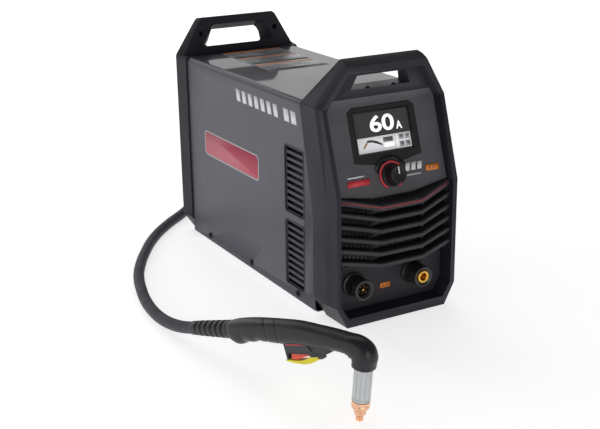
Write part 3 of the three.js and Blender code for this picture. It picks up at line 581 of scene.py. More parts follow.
def knob():
    """A fluted knob with a smaller, dished front face."""
    base, face, height = 19, 14.5, 22
    steps, waist = 9, base - 2.2
    profile = [(0, 0), (base - 0.6, 0), (base, 0.6), (base, 2.4), (base - 0.5, 3), (base - 2, 3.6)]
    for i in range(steps + 1):
        t = i / steps
        profile.append((waist - (waist - face - 0.9) * t, 4.2 + (height - 5.6) * t))
    profile += [(face + 0.4, height - 0.7), (face - 0.3, height - 0.1), (face - 1, height),
                (face - 1.8, height - 0.35), (0, height - 0.5)]
    place = CONSOLE @ shift(0, -1.3, 0) @ spin(90, "X")
    made = lathe("knob_cap", profile, "knob", place, 120, flute=(15, 0.9, 4.1, height - 1.3))
    piece(made, "knob", replaces=["control_knob"])


# --- grille and connector recess
SLAT = {"end": (107.4, 8.4, 216.5), "kink": (40, -11.4, 201)}
RECESS = 28  # depth of the connector panel's face behind the front rim
TORCH_SOCKET = (-70, 64)
WORK_SOCKET = (47, 64)


def front_place(x, y, z):
    """A placement at a point given from the front rim, pointing forward along its +Z."""
    return at(x, y, z) @ spin(90, "X")


def ribbon(name, rows, material):
    """A strip through pairs of points, closed behind by the same pairs set back."""
    back = Vector((0, 0.25 * MM, 0))
    rings = []
    for low, high in rows:
        near = [in_row_frame(low), in_row_frame(high)]
        rings.append([*near, near[1] + back, near[0] + back])
    bm = bmesh.new()
    skin(bm, rings)
    return make_object(name, bm, material)


def pinstripe():
    """A dark red line along the face of the top slat."""
    low, high, proud, inset = -0.4, 1.5, 0.32, 0.02
    kink = Vector(SLAT["kink"])
    end = Vector(SLAT["end"]).lerp(kink, inset)
    rows = []
    for side, spots in ((-1, (end, kink)), (1, (kink, end))):
        for x, y, z in spots:
            rows.append(((side * x, y - proud, z + low), (side * x, y - proud, z + high)))
    piece(ribbon("slat_pinstripe", rows, "pinstripe"))


def dust_mesh():
    """Expanded mesh in front of the intake: two crossing sets of slanted bars."""
    bm = bmesh.new()
    x_half, low, high, depth = 103, 99, 213, 34.6
    pitch, lean, shortest = 9.0, 0.6, 4
    section = [(-0.55, -0.4), (0.55, -0.4), (0.55, 0.4), (-0.55, 0.4)]
    reach = (high - low) * lean
    for direction in (-1, 1):
        y = depth + 0.5 * direction
        for i in range(int((2 * x_half + reach) / pitch)):
            top = i * pitch - x_half
            ends = []
            for x, z in ((top - direction * reach, low), (top, high)):
                inside = max(-x_half, min(x_half, x))
                ends.append((inside, z + (inside - x) / (direction * lean)))
            if ends[1][1] - ends[0][1] >= shortest:
                skin(bm, [[in_row_frame((x + u, y + v, z)) for u, v in section] for x, z in ends])
    piece(make_object("intake_mesh", bm, "mesh_grey"))


def screw(name, place, radius, height, drive=0.45, replaces=None):
    """A pan head with a round socket, drive times as wide as the head."""
    reach = radius * drive
    profile = [(radius * 0.86, 0), (radius, 0.25 * height), (radius, 0.55 * height),
               (radius * 0.84, 0.88 * height), (radius * 0.6, height), (reach + 0.3, height),
               (reach, height - 0.25), (reach * 0.98, 0.35 * height), (0, 0.35 * height)]
    turned(name, profile, "dark_steel", place, 36, "zinc_steel" if replaces else None, replaces)


def bosses():
    """Screw bosses that show behind and under the grille."""
    profile = [(0, 0), (7.4, 0), (6.6, 8.6), (6.2, 9), (4.2, 9), (4, 8.6), (3.6, 4), (0, 4)]
    for i, (x, z) in enumerate([(-93, 187), (-96, 97), (93, 97)]):
        turned(f"grille_boss_{i}", profile, "grille", front_place(x, 33, z), 40)
        screw(f"grille_screw_{i}", front_place(x, 28.6, z), 3.4, 2.6)


def torch_socket():
    """A knurled round socket with a middle pin and a ring of six."""
    x, z = TORCH_SOCKET
    bore, r = 11.5, 17
    profile = [(bore, 0.3), (r + 4, 0.3), (r + 4, 3), (r + 3.4, 3.6), (r + 0.4, 4.4),
               (r, 5), (r, 11), (r - 0.8, 11.4), (r - 0.8, 12.4), (r, 12.8)]
    profile += [(r + 0.1, 13.2 + i * 1.5) for i in range(8)]
    profile += [(r, 25), (r - 1, 25.6), (r - 1, 27.4), (r + 0.2, 28), (r + 0.8, 28.8),
                (r + 0.8, 34.8), (r + 0.2, 35.7), (r - 0.6, 36), (bore + 2.2, 36),
                (bore + 1.2, 35.2), (bore + 0.9, 33), (bore, 32.4)]
    place = front_place(x, RECESS, z)
    turned("torch_socket_shell", profile, "socket", place, 144, "gloss_black", "torch_socket_body",
           closed=True, flute=(36, 0.55, 13.1, 24))
    insulator = [(0, 10.4), (bore - 0.6, 10.4), (bore - 0.6, 24), (bore - 1.2, 24.6), (3.6, 24.6),
                 (3.4, 23.6), (0, 23.6)]
    turned("torch_socket_insulator", insulator, "black", place, 48, "brass", "torch_socket_contacts")
    for i in range(7):
        reach, thick = (7, 0.9) if i else (0, 2.1)
        turn = (i - 1) * pi / 3 + 0.3
        spot = front_place(x + reach * cos(turn), RECESS, z + reach * sin(turn))
        pin = [(0, 24.4), (thick, 24.4), (thick, 29.2 + thick), (thick * 0.8, 29.9 + thick),
               (thick * 0.5, 30.3 + thick), (0, 30.4 + thick)]
        turned(f"torch_socket_pin_{i}", pin, "brass", spot, 24, "brass")
        if i:
            inner, outer = thick + 0.35, thick + 1.1
            collar = [(inner, 24.6), (outer, 24.6), (outer, 25.8), (inner, 25.8)]
            turned(f"torch_socket_collar_{i}", collar, "black", spot, 24, closed=True)


def work_socket():
    """A knurled socket with a wide front ring round a brass contact with a stepped hole."""
    x, z = WORK_SOCKET
    bore, r, brass, hole, reach = 11.4, 18, 10.8, 6, 37
    profile = [(bore, 0.8), (r + 3, 0.8), (r + 3, 3.4), (r + 2.4, 4.2), (r, 5.4),
               (r, 9), (r - 0.7, 9.6), (r - 0.7, 10.6), (r, 11)]
    profile += [(r, 11.4 + i * 1.6) for i in range(9)]
    profile += [(r, 25.2), (r - 1, 26), (r - 1, 28), (r - 0.6, 28.4), (r - 0.2, 29.2),
                (r - 0.2, reach - 1.4), (r - 0.7, reach - 0.4), (r - 1.4, reach),
                (r - 2.2, reach), (r - 2.8, reach - 0.8), (bore + 1, reach - 1.2), (bore, reach - 2)]
    place = front_place(x, RECESS, z)
    turned("work_socket_shell", profile, "socket", place, 144, "gloss_black", "work_socket_body",
           closed=True, flute=(24, 0.8, 11.3, 24.3))
    contact = [(0, -16), (8, -16), (8, 0), (brass - 0.5, 0.6), (brass, 1.4), (brass, reach - 1),
               (brass - 0.5, reach - 0.2), (brass - 1.1, reach), (hole + 1.4, reach),
               (hole + 0.4, reach - 0.7), (hole, reach - 1.8), (hole, reach - 9), (hole + 0.7, reach - 9.6),
               (hole + 0.7, reach - 13), (hole, reach - 13.6), (hole, 8), (0, 8)]
    turned("work_socket_insert", contact, "brass", place, 72, "brass", "work_socket_contact")


def recess_print():
    """A plain orange label between the sockets."""
    place = at(0, RECESS, 0)
    pill = rounded(-16, 4, 43.5, 53, 1.4)
    piece(slab("recess_print_pill", pill, -0.2, -0.06, "orange", place))
    for i in range(2):
        bar = slanted_bar(-12 + i * 7, -10 + i * 7, 45.6, 50.8, 0.3)
        piece(slab(f"recess_print_notch_{i}", bar, -0.34, -0.22, "panel", place))


# --- case prints and fasteners
WALL = 120.5  # the wrap's sides
SCREW_ROWS = [123.6, 295.9, 470]
REAR_GRIP_SCREW = (81, 572.8, 403)
SHELF_SCREW = (25, 57, 383.1)  # on the floor of the front grip's opening
SIDE_BARS = [  # name, count, first y, pitch, width
    ("side_bar", 7, 322, 23, 14),
    ("side_end_bar", 2, 145, 24, 17),
]
SIDE_BAR_LEVELS = (320, 341)
SIDE_BAR_SLANT = -0.22
LOUVRE = (132, 31, 58, 10, 11.6, 6.2)  # middle y, half width, half height, slots, pitch, slot height
LOUVRE_LEVELS = {"lower": 90, "upper": 221.7}
LABEL = (-50, 78, 338, 543)  # x and y of the label's edges
LABEL_TOP = 364.1
LABEL_BLOCKS = [541, 474, 405]  # the far edge of each header


def side_place(side, out=0.0):
    """A placement on the case's side: outlines run along y and z, from the front rim's plane."""
    return Matrix.Translation((side * (WALL + out) * MM, -FOOT_MID, 0)) @ spin(90, "Z")


def side_print(name, side_name, side, outline, material, holes=()):
    place = side_place(side, 0.1)
    piece(slab(f"{name}_{side_name}", outline, -PRINT / 2, PRINT / 2, material, place, holes))


def side_prints():
    """Plain bars and a plain band where a case like this has its name and badge."""
    rim = rounded(259, 479, 188, 236, 9, 8)
    inner = rounded(261.4, 476.6, 190.4, 233.6, 7, 8)
    band = rounded(261.8, 476.2, 190.8, 233.2, 6.8, 8)
    for where in SIDES:
        for name, count, first, pitch, width in SIDE_BARS:
            for i in range(count):
                y = first - i * pitch
                bar = slanted_bar(y, y + width, *SIDE_BAR_LEVELS, where[1] * SIDE_BAR_SLANT)
                side_print(f"{name}_{i}", *where, bar, "white")
        side_print("side_band_edge", *where, rim, "pale_print", [inner])
        side_print("side_band", *where, band, "band_red")


def louvres():
    """Slotted plates behind the windows of the wrap, with a thin dark ring round each window, its dark tone
    painted shade of the pressed crease, and a near-black sheet inside, painted shade behind the slots.
    """
    y, half, tall, count, pitch, gap = LOUVRE

    def pane(z, grow, radius, steps=5):
        across, up = half + grow, tall + grow
        return rounded(y - across, y + across, z - up, z + up, radius, steps)

    for side_name, side in SIDES:
        for level, z in LOUVRE_LEVELS.items():
            name = f"{side_name}_{level}"
            slots = []
            for i in range(count):
                middle = z + (i - (count - 1) / 2) * pitch
                slots.append(rounded(y - half + 3, y + half - 3, middle - gap / 2, middle + gap / 2, 1.4))
            sheet, outer, inner, back = pane(z, 3.6, 2), pane(z, 2, 7, 8), pane(z, -0.6, 5, 8), pane(z, 2, 4)
            deep, proud, inside = side_place(side, -2.55), side_place(side, 0.32), side_place(side, -9)
            plate = slab(f"louvre_plate_{name}", sheet, -0.75, 0.75, "coat", deep, slots)
            piece(soften(plate, 0.35), replaces=[f"louvre_{name}"])
            # a thin dark ring round the window, painted shade of the pressed crease
            rim = slab(f"louvre_shade_ring_{name}", outer, -0.3, 0.3, "louvre", proud, [inner])
            piece(soften(rim, 0.25))
            # a near-black sheet inside, painted shade so that the slots read dark
            piece(slab(f"louvre_shade_sheet_{name}", back, -0.3, 0.3, "painted_shade_black", inside))


def top_label():
    """A plain label sheet with orange headers and grey lines, without any words."""
    x0, x1 = LABEL[:2]
    place = at(0, 0, LABEL_TOP) @ spin(-90, "X")

    def sheet(name, box, low, material):
        piece(slab(name, rounded(*box, 1), low, low + PRINT, material, place))

    sheet("top_label_sheet", LABEL, -0.16, "label")
    for i, far in enumerate(LABEL_BLOCKS):
        sheet(f"top_label_header_{i}", (x0 + 4, x1 - 4, far - 9, far), -0.3, "orange")
        sheet(f"top_label_block_{i}", (x0 + 4, x1 - 4, far - 62, far - 42), -0.3, "label_dark")
        for row in range(3):
            near = far - 17 - row * 8
            line = (x0 + 6, x1 - 26 - 14 * (row % 2), near - 2.4, near)
            sheet(f"top_label_line_{i}_{row}", line, -0.3, "label_dark")


def case_screws():
    """Screws along the wrap's sides, in the rear grip and on the front grip's shelf."""
    for name, side in SIDES:
        for i, y in enumerate(SCREW_ROWS):
            place = pointing((side, 0, 0), in_row_frame((side * (WALL + 0.3), y, 23)))
            screw(f"wrap_screw_{name}_{i + 1}", place, 5.8, 2.8, 0.42, f"side_screw_{name}_{i + 1}")
        x, y, z = REAR_GRIP_SCREW
        rear = front_place(side * x, y, z)
        screw(f"rear_grip_screw_{name}", rear, 4.2, 3.6, replaces=f"handle_screw_{name}")
        x, y, z = SHELF_SCREW
        screw(f"front_grip_screw_{name}", at(side * x, y, z), 4.2, 2.8)


# --- rear panel
REAR = 557.7  # the rear panel's outer face
GLAND = (66, 300)
SWITCH = (-66, 300)
INLET = (0, 262)
FAN = (0, 150)


def rear_place(x, z, out=0.0):
    """A placement on the rear panel, pointing back along its +Z."""
    return pointing((0, 1, 0), in_row_frame((x, REAR + out, z)))


def nut(name, spot, proud, flat_radius, bore, height, material, edge):
    """A six-sided nut on the rear panel."""
    place = at(spot[0], REAR + proud, spot[1])
    body = slab(name, hexagon(flat_radius), 0, height, material, place, [circle(bore)])
    piece(soften(body, edge))


def mains_gland():
    """A cable gland: flange, six-sided body and a ribbed dome nut."""
    r = 14
    shell = [(5.5, -12), (10, -12), (10, 0.3), (r + 2, 0.3), (r + 2, 2.4), (r + 1.4, 3), (r - 0.6, 3.2),
             (r - 0.4, 8), (r - 2, 8.3), (r - 2, 9), (r - 1.2, 9.4), (r - 1.2, 16.4), (r - 2, 18.2),
             (r - 3.8, 20.6), (r - 5, 21.8), (7.4, 22), (6, 21.4), (5.5, 20)]
    turned("gland_shell", shell, "black", rear_place(*GLAND), 120, "gloss_black", "mains_gland",
           closed=True, flute=(20, 0.6, 9.2, 18.4))
    nut("gland_hexagon", GLAND, 3.1, 12.9, 10, 4.6, "black", 0.5)


def air_inlet():
    """A barbed hose tail on a flanged brass body, with its nut."""
    barbs = [(3, -14), (8, -14), (8, 0.3), (11, 0.3), (11, 2), (10.4, 2.6), (8.6, 2.8), (8.6, 8.4),
             (6.2, 9), (5.6, 11.4)]
    for i in range(3):
        low = 11.8 + i * 4.1
        barbs += [(5.4, low), (7.2, low + 0.5), (7.2, low + 1.1), (5.6, low + 3.9)]
    barbs += [(5.2, 24.6), (4.7, 25), (3.4, 25), (3, 24.6)]
    turned("inlet_barb", barbs, "brass", rear_place(*INLET), 72, "brass", "air_inlet", closed=True)
    nut("inlet_hexagon", INLET, 2.9, 9.6, 8.8, 5, "brass", 0.4)


def rear_fixings():
    """Screws on the rear panel and the fan guard, a blank rating plate and the switch's surround."""
    spots = [(x, z) for x in (-103, 103) for z in (60, 200, 330)]
    for i, spot in enumerate(spots):
        screw(f"rear_panel_screw_{i}", rear_place(*spot, 0.05), 3.6, 2.2, 0.42)
    for i, (x, z) in enumerate(arc(55.6, 45, 315, 3, *FAN)):
        screw(f"fan_guard_screw_{i}", rear_place(x, z, 2.0), 2.6, 1.8, 0.42)
    place = at(0, REAR, 0)
    plate = rounded(-52, 52, 222, 242, 2)
    piece(slab("rear_rating_plate", plate, 0.05, 0.5, "aluminium", place))
    for i in range(3):
        bar = rounded(-46, 40 - 18 * i, 236 - 5 * i, 238 - 5 * i, 0.4, 2)
        piece(slab(f"rear_rating_line_{i}", bar, 0.52, 0.62, "panel", place))
    x, z = SWITCH
    edge = rounded(x - 15, x + 15, z - 19, z + 19, 2.4)
    hole = rounded(x - 12, x + 12, z - 16, z + 16, 1.6)
    piece(soften(slab("switch_surround", edge, 0.1, 1.4, "black", place, [hole]), 0.4))


# --- cord
LEAD_RADIUS = 10
FLOOR_Z = 10.2
COIL = {"x": 145, "y": 748, "inner": 97.6, "pitch": 20.4, "wide": 3, "high": 3, "first_z": 11.6,
        "rise": 20.1, "top": 62.2}
COIL_ENTRY = 150  # degrees, where the lead joins the outer turn
TAIL = {"start": 250, "sweep": 95, "steps": 8, "low": 98, "mid": 118, "plug_radius": 17}
LEAD_ROUTE = [
    (-341.4, 72.6, 30.9), (-346.7, 92, 25.5), (-350.6, 112, 21), (-353.2, 135, 17), (-354.6, 165, 13.4),
    (-353.4, 200, 11), (-347, 252, FLOOR_Z), (-332.5, 312, FLOOR_Z), (-312, 374, FLOOR_Z),
    (-290.5, 420, FLOOR_Z), (-253.5, 484, FLOOR_Z), (-204.5, 554, FLOOR_Z), (-150, 612, FLOOR_Z),
    (-99, 657, FLOOR_Z), (-56, 703, FLOOR_Z), (-15.4, 762, FLOOR_Z),
]


def round_coil(radius, angle, height):
    turn = radians(angle)
    return (COIL["x"] + radius * cos(turn), COIL["y"] + radius * sin(turn), height)


def coil_points():
    """Turns laid out and in, layer on layer, clockwise from above."""
    across = range(COIL["wide"])
    lanes = [(layer, lane) for layer in range(COIL["high"])
             for lane in (across if layer % 2 else reversed(across))]
    per_turn = 24
    last_angle = TAIL["start"] - 360 * COIL["wide"] * COIL["high"]
    points = []
    for i in range(round((COIL_ENTRY - last_angle) / 360 * per_turn)):
        angle = COIL_ENTRY - i * 360 / per_turn
        turn = (COIL_ENTRY - angle) / 360
        now = min(int(turn), len(lanes) - 1)
        after = min(now + 1, len(lanes) - 1)
        change = ease((turn - now - 0.8) / 0.2)
        layer, lane = (old + (new - old) * change for old, new in zip(lanes[now], lanes[after]))
        radius = COIL["inner"] + lane * COIL["pitch"]
        points.append(round_coil(radius, angle, COIL["first_z"] + layer * COIL["rise"]))
    return points


def tail_points():
    """The lead's end, which rises onto the coil and ends in the plug."""
    points = []
    for i in range(TAIL["steps"] + 1):
        t = i / TAIL["steps"]
        radius = TAIL["low"] + (TAIL["mid"] - TAIL["low"]) * t
        lift = LEAD_RADIUS + 0.6 + (TAIL["plug_radius"] - LEAD_RADIUS) * t
        points.append(round_coil(radius, TAIL["start"] - TAIL["sweep"] * t, COIL["top"] + lift))
    return points


def lead():
    curve = bpy.data.curves.new("torch_lead_cable", "CURVE")
    curve.dimensions = "3D"
    curve.bevel_depth = LEAD_RADIUS * MM
    curve.bevel_resolution = 7
    curve.use_fill_caps = True
    points = [in_row_frame(p) for p in LEAD_ROUTE + coil_points() + tail_points()]
    spline = curve.splines.new("BEZIER")
    spline.bezier_points.add(len(points) - 1)
    spline.resolution_u = 6
    for knot, point in zip(spline.bezier_points, points):
        knot.co = point
        knot.handle_left_type = knot.handle_right_type = "AUTO"
    curve.materials.append(MATERIALS["cable"])
    return new_object("torch_lead_cable", curve)


def plug():
    """A plug with a ribbed grip and a hollow nose."""
    before, end = [in_row_frame(p) for p in tail_points()[-2:]]
    along = end - before
    along.z = 0
    along.normalize()
    profile = [(0, 0), (10.3, 0), (10.8, 1), (11.2, 8), (12.8, 20), (13.4, 23), (15, 25), (15, 46),
               (16.6, 46.6)]
    for i in range(6):
        start = 48 + i * 4.4
        profile += [(17, start), (17, start + 2.8), (16.2, start + 3.2), (16.2, start + 4)]
    profile += [(15.2, 76), (15.2, 91.4), (14.6, 92), (12.4, 92), (12, 91.4), (12, 80), (0, 80)]
    return lathe("lead_plug_shell", profile, "black", pointing(along, end + along * 2.4 * MM), 48)


def coil_tie():
    """A strap round the coil's turns."""
    inner, outer = COIL["inner"] - 11.2, COIL["inner"] + 2 * COIL["pitch"] + 11.2
    section = rounded(inner, outer, 0.6, 62.9, 9.5, 6)
    inside = rounded(inner + 1, outer - 1, 1.5, 61.9, 8.7, 6)
    place = at(COIL["x"], COIL["y"], 0) @ spin(-35, "Z")
    return slab("coil_strap", section, -12, 12, "black", place, [inside])


def cords():
    cable = piece(lead(), replaces=["torch_lead", "lead_coil", "lead_tail"])
    shell = piece(plug(), replaces=["lead_plug"])
    strap = piece(coil_tie())


# --- torch
# Stations along the handle, as the CAD's: y, z, half width, half height and slope in degrees.
HANDLE = [
    (-7.6, 84.7, 16.2, 16.6, 95), (-8.6, 92, 16.2, 17.2, 93), (-8.6, 98.8, 16.2, 19.6, 79),
    (-3.8, 105.6, 16.2, 21, 49), (8, 110, 16.3, 17, 18), (22, 110, 16.3, 14.4, 1),
    (47, 107.4, 16, 15, -7), (75, 102.8, 15.8, 16.4, -10), (112, 97.2, 15.6, 17.3, -13),
    (146, 88.6, 15.8, 18.3, -15), (181, 80.3, 16.5, 17.6, -15.5), (206, 73.6, 16.6, 17.4, -16),
    (231, 64.4, 16.4, 18.4, -17), (248, 59.6, 15.4, 16.6, -16.5), (257, 57.4, 13.8, 14.2, -16),
]
BOOT = {"y": 258.3, "z": 57.1, "length": 96.8, "slope": -15.9, "ribs": 6, "pitch": 13.4, "gap": 3.9}
TRIGGER_SHAPE = [(34.7, -19.6), (35.3, -10.2), (1.5, 3.2), (-3, 1.3), (-2, -2.6), (9.5, -8.4), (22, -16)]
LEVER_SHAPE = [
    (-8, 0.4), (-14.6, 2.4), (-17, 0.6), (-15.6, -4.4), (-12.2, -8.4), (-5, -13.2), (3.4, -17.2),
    (12, -20.2), (26.4, -23.5), (40.4, -25.6), (46.7, -25.6), (46.7, -24.4), (38.8, -22.1), (24.2, -18.4),
    (13.5, -14.4), (3.2, -8.6), (-3, -3.4),
]
KNUCKLE_SHAPE = [(-13, 1.6), (-19, 5), (-24, 4.6), (-25.6, 1.4), (-23.4, -1.8), (-14, -3.4)]
HOUSING_SHAPE = [
    (50.5, 2.8), (41.5, -21), (38.6, -20.6), (38.3, -11.4), (-1.5, -0.2), (-6.5, -2.6), (-14.5, 0.2),
    (-28.5, 5.8), (-43, 17), (-43, 24), (50.5, 16.8),
]
TRIGGER_SLOT = [(37.7, -31.2), (37.7, -3.2), (-7.5, 7.8), (-7.5, -11.2)]
LEVER_SLOT = [(-9, -11.2), (-9, 7.3), (-32.5, 10.8), (-32.5, -11.2)]
COLLAR_GROOVES = [(181, 14), (156, 11)]  # y, and how much less it is at the sides
FINGER_SHAPES = [(241, 19, 3.4), (208, 12, 1.3), (224, 9, -1.0), (194, 11, -1.0)]  # y, half width, height


def hump(value, middle, half):
    """A smooth rise from 0 at half a width away to 1 at the middle."""
    return ease(1 - abs(value - middle) / half)


def spline_rows(rows, steps):
    """Rows of numbers between stations, on a smooth curve through them."""
    made = []
    ends = [rows[0], *rows, rows[-1]]
    for i in range(1, len(ends) - 2):
        for step in range(steps):
            t = step / steps
            made.append([0.5 * (2 * b + (c - a) * t + (2 * a - 5 * b + 4 * c - d) * t * t
                                + (3 * b - a - 3 * c + d) * t ** 3)
                         for a, b, c, d in zip(*ends[i - 1:i + 3])])
    made.append(list(rows[-1]))
    return made


def grip_depth(y, side, under):
    """How far the grip's skin stands out of its plain section, in millimetres."""
    depth = 0.0
    for line, bow in COLLAR_GROOVES:
        depth -= 1.1 * hump(y, line - bow * side ** 1.4, 1.9)
    if under > 0:
        for middle, half, height in FINGER_SHAPES:
            depth += under * height * hump(y, middle, half)
    return depth


def grip_mesh():
    """The handle's skin, with its part lines, collar and finger shapes."""
    count, squareness = 72, 0.85
    rows = spline_rows(HANDLE, 22)
    ends = {0: 0.955, len(rows) + 1: 0.86}
    rings = []
    for index, (y, z, wide, tall, slope) in enumerate([rows[0], *rows, rows[-1]]):
        shrink = ends.get(index, 1)
        rise = radians(slope)
        ring = []
        for i in range(count):
            angle = 2 * pi * i / count
            c, s = cos(angle), sin(angle)
            depth = grip_depth(y, abs(c), -s) if y > 120 else 0
            across = wide * shrink * copysign(abs(c) ** squareness, c) + depth * c
            up = tall * shrink * copysign(abs(s) ** squareness, s) + depth * s
            ring.append((across * MM, (y - sin(rise) * up) * MM, (z + cos(rise) * up) * MM))
        rings.append(ring)
    bm = bmesh.new()
    skin(bm, rings)
    return make_object("grip_tool", bm, "torch")


def side_slab(name, outline, half, material, turned=Matrix(), radius=0.0):
    """A slab across the torch from an outline in (y, z) about the trigger's pivot."""
    place = Matrix.Translation(TRIGGER_PIVOT) @ spin(90, "Z")
    made = slab(name, outline, -half, half, material, turned @ place)
    if radius:
        soften(made, radius, 4, 25)
    return made


def settled(obj):
    """The object with its modifiers applied."""
    bpy.context.view_layer.update()
    mesh = bpy.data.meshes.new_from_object(obj.evaluated_get(bpy.context.evaluated_depsgraph_get()))
    obj.modifiers.clear()
    obj.data = mesh
    return obj


def boolean(target, tool, operation):
    step = target.modifiers.new(operation, "BOOLEAN")
    step.object = tool
    step.operation = operation
    step.solver = "EXACT"
    settled(target)
    bpy.data.objects.remove(tool)


def half_of(whole, name, side, seam):
    """One side of the handle, closed along the seam."""
    bm = bmesh.new()
    bm.from_mesh(whole.data)
    bmesh.ops.bisect_plane(bm, geom=[*bm.verts, *bm.edges, *bm.faces], plane_co=(side * seam * MM, 0, 0),
                           plane_no=(side, 0, 0), clear_inner=True, dist=1e-7)
    open_edges = [edge for edge in bm.edges if edge.is_boundary]
    bmesh.ops.holes_fill(bm, edges=open_edges, sides=0)
    bm.transform(TORCH)
    made = make_object(name, bm, "torch")
    made.data.set_sharp_from_angle(angle=radians(38))
    return made


def handle():
    """The grip with its trigger housing and slots, as two halves."""
    grip = grip_mesh()
    housing = settled(side_slab("housing_tool", HOUSING_SHAPE, 9, "torch", radius=1.3))
    boolean(grip, housing, "UNION")
    boolean(grip, side_slab("slot_tool", TRIGGER_SLOT, 6.7, "torch"), "DIFFERENCE")
    boolean(grip, side_slab("lever_slot_tool", LEVER_SLOT, 7.3, "torch"), "DIFFERENCE")
    for name, side in SIDES:
        made = half_of(grip, f"torch_grip_{name}", side, 0.12)
        piece(made, replaces=[f"torch_handle_{name}"])
    bpy.data.objects.remove(grip)


def guard_plates():
    """A slim raised plate and a thin red line on both sides of the trigger housing."""
    plate = [(49, 8), (43.2, -9.4), (36, -7.4), (0, 2.6), (-9, 7), (2, 13.4), (12, 14.8), (30, 12.6)]
    line = [(44, 2.2), (43.6, 0.8), (7.4, 12.1), (7.8, 13.5)]
    for name, side in SIDES:
        inner, outer = TORCH @ shift(side * 9.2, 0, 0), TORCH @ shift(side * 9.75, 0, 0)
        piece(side_slab(f"guard_plate_{name}", plate, 0.45, "torch_dark", inner, 0.3))
        piece(side_slab(f"guard_line_{name}", line, 0.08, "red", outer))


def finger_controls():
    """The trigger, and the yellow lever that guards it, with the dark knuckle that it turns on."""
    trigger = side_slab("trigger_blade", TRIGGER_SHAPE, 6.2, "trigger", TORCH, 0.9)
    piece(trigger, "trigger", ["torch_trigger"])
    lever = side_slab("safety_lever_blade", LEVER_SHAPE, 6.4, "lever", TORCH, 0.9)
    piece(lever, "safety_lever", ["torch_safety_lever"])
    piece(side_slab("safety_lever_knuckle", KNUCKLE_SHAPE, 4.4, "torch_dark", TORCH, 0.8), "safety_lever")


def head_stack():
    """Nozzle, shield and retaining cap, from the tip up."""
    nozzle = [(0, 0.8), (1.2, 0.8), (1.2, 0), (4.4, 0), (5.4, 0.5), (5.5, 1.2), (5.5, 8.4), (5.1, 8.8),
              (5.1, 9.4), (7, 9.8), (8.4, 10.4), (8.6, 11.2), (8.6, 18), (8, 18.9), (7.4, 19), (7.4, 21.5),
              (0, 21.5)]
    turned("nozzle_tip", nozzle, "copper", STACK, 144, "copper", "torch_nozzle", flute=(8, 1.7, 0.4, 18.2))
    shield = [(9.4, 20.6), (11.4, 20.6), (12.4, 21), (13, 22), (13.1, 23), (13.1, 26.6), (12.7, 26.9),
              (12.7, 27.5), (13.1, 27.8), (13.1, 31.6), (12.7, 32.2), (9.4, 32.3)]
    turned("shield_cup", shield, "copper", STACK, 120, "copper", "torch_shield",
           closed=True, flute=(16, 0.6, 21.6, 26.7))
    cap = [(9.4, 32.8), (12.4, 32.8), (13, 33.3), (13.1, 34), (13.1, 37.4), (12.9, 37.6), (12.9, 38),
           (13.1, 38.2), (13.1, 83.4), (12.6, 84), (9.4, 84)]
    turned("retaining_cap", cap, "cap", STACK, 120, "cap_grey", "torch_retaining_cap",
           closed=True, flute=(12, 0.3, 38.1, 83.5))


def boot():
    """The ribbed strain relief, and a near-black core inside it that stands just out of the gaps between the
    ribs, as painted shade.
    """
    pitch, length = BOOT["pitch"], BOOT["length"]
    profile = [(0, -1.4), (13.4, -1.4)]
    for i in range(BOOT["ribs"]):
        start, r = i * pitch, 14.3 - i * 0.42
        end = start + pitch - BOOT["gap"]
        low = start - 1.4 if i == 0 else start
        profile += [(r - 1, low), (r - 0.25, low + 0.6), (r, low + 1.7), (r + 0.1, (low + end) / 2),
                    (r, end - 1.7), (r - 0.25, end - 0.6), (r - 1, end), (r - 4.4, end + 0.15),
                    (r - 4.4, start + pitch - 0.15)]
    tail = BOOT["ribs"] * pitch
    profile += [(11, tail), (11.7, tail + 0.7), (11.6, tail + 2), (11.1, length - 1.4), (10.7, length - 0.4),
                (10.2, length), (0, length)]
    slope = spin(BOOT["slope"], "X") @ spin(-90, "X")
    place = TORCH @ shift(0, BOOT["y"], BOOT["z"]) @ slope
    turned("strain_relief", profile, "boot", place, 96, "lead_rubber", "torch_boot")
    # the core pokes just through the rib gaps, painting them near black as shade
    core = [(0, 8), (10.2, 8), (8.2, tail), (0, tail)]
    turned("strain_relief_gap_shade", core, "painted_shade_black", place, 48)


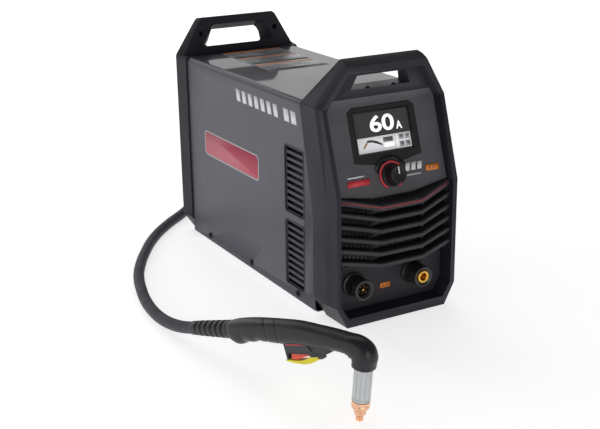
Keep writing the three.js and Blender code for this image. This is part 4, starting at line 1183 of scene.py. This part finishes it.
# --- camera, floor and light
CAMERA = {"place": (-1.0025, -1.470, 0.775), "azimuth": 29.583, "pitch": -18.735, "roll": -0.70,
          "lens": 67.9}
MIDDLE = (-0.05, 0.2, 0.2)
LIGHTS = [  # name, place, target, size, power in watts
    ("front_card", (-0.9, -3.3, 0.75), MIDDLE, (2.4, 1.2), 23),
    ("left_card", (-3.3, 0.6, 0.75), MIDDLE, (3.4, 1.3), 15),
    ("back_card", (0.6, 4.5, 1.5), (0.6, 0, 1.0), (9, 2.6), 62),
    ("high_card", (0.7, 2.6, 3.6), (-0.1, 0, 0), (3.4, 1.8), 20),
    ("edge_card", (-1.4, 3.6, 2.3), MIDDLE, (0.9, 0.35), 5),
]


def camera():
    data = bpy.data.cameras.new("camera")
    data.lens = CAMERA["lens"]
    data.sensor_width = 36
    obj = new_object("camera", data)
    turn = spin(-CAMERA["azimuth"], "Z")
    nod = spin(90 + CAMERA["pitch"], "X")
    roll = spin(CAMERA["roll"], "Z")
    obj.matrix_world = Matrix.Translation(CAMERA["place"]) @ turn @ nod @ roll
    bpy.context.scene.camera = obj


def area_light(name, place, target, size, power):
    data = bpy.data.lights.new(name, "AREA")
    data.shape = "RECTANGLE"
    data.size, data.size_y = size
    data.energy = power
    obj = new_object(name, data)
    obj.location = place
    obj.rotation_euler = (Vector(target) - Vector(place)).to_track_quat("-Z", "Y").to_euler()
    obj.visible_camera = False


def studio():
    bm = bmesh.new()
    bmesh.ops.create_grid(bm, x_segments=8, y_segments=8, size=14)
    make_object("studio_floor", bm, "floor")
    world = bpy.data.worlds.new("studio")
    world.use_nodes = True
    background = world.node_tree.nodes["Background"].inputs
    background["Color"].default_value = (1, 1, 1, 1)
    background["Strength"].default_value = 0.2
    bpy.context.scene.world = world
    for light in LIGHTS:
        area_light(*light)
    bpy.context.scene.view_settings.view_transform = "Standard"


# --- assembly
camera()
cords()
for row in DRESSING:
    dress(*row)
for step in (display, screen_surround, console_prints, knob, pinstripe, dust_mesh, bosses, torch_socket,
             work_socket, recess_print, side_prints, louvres, top_label, case_screws, mains_gland,
             air_inlet, rear_fixings, handle, finger_controls, guard_plates, head_stack, boot, studio):
    step()
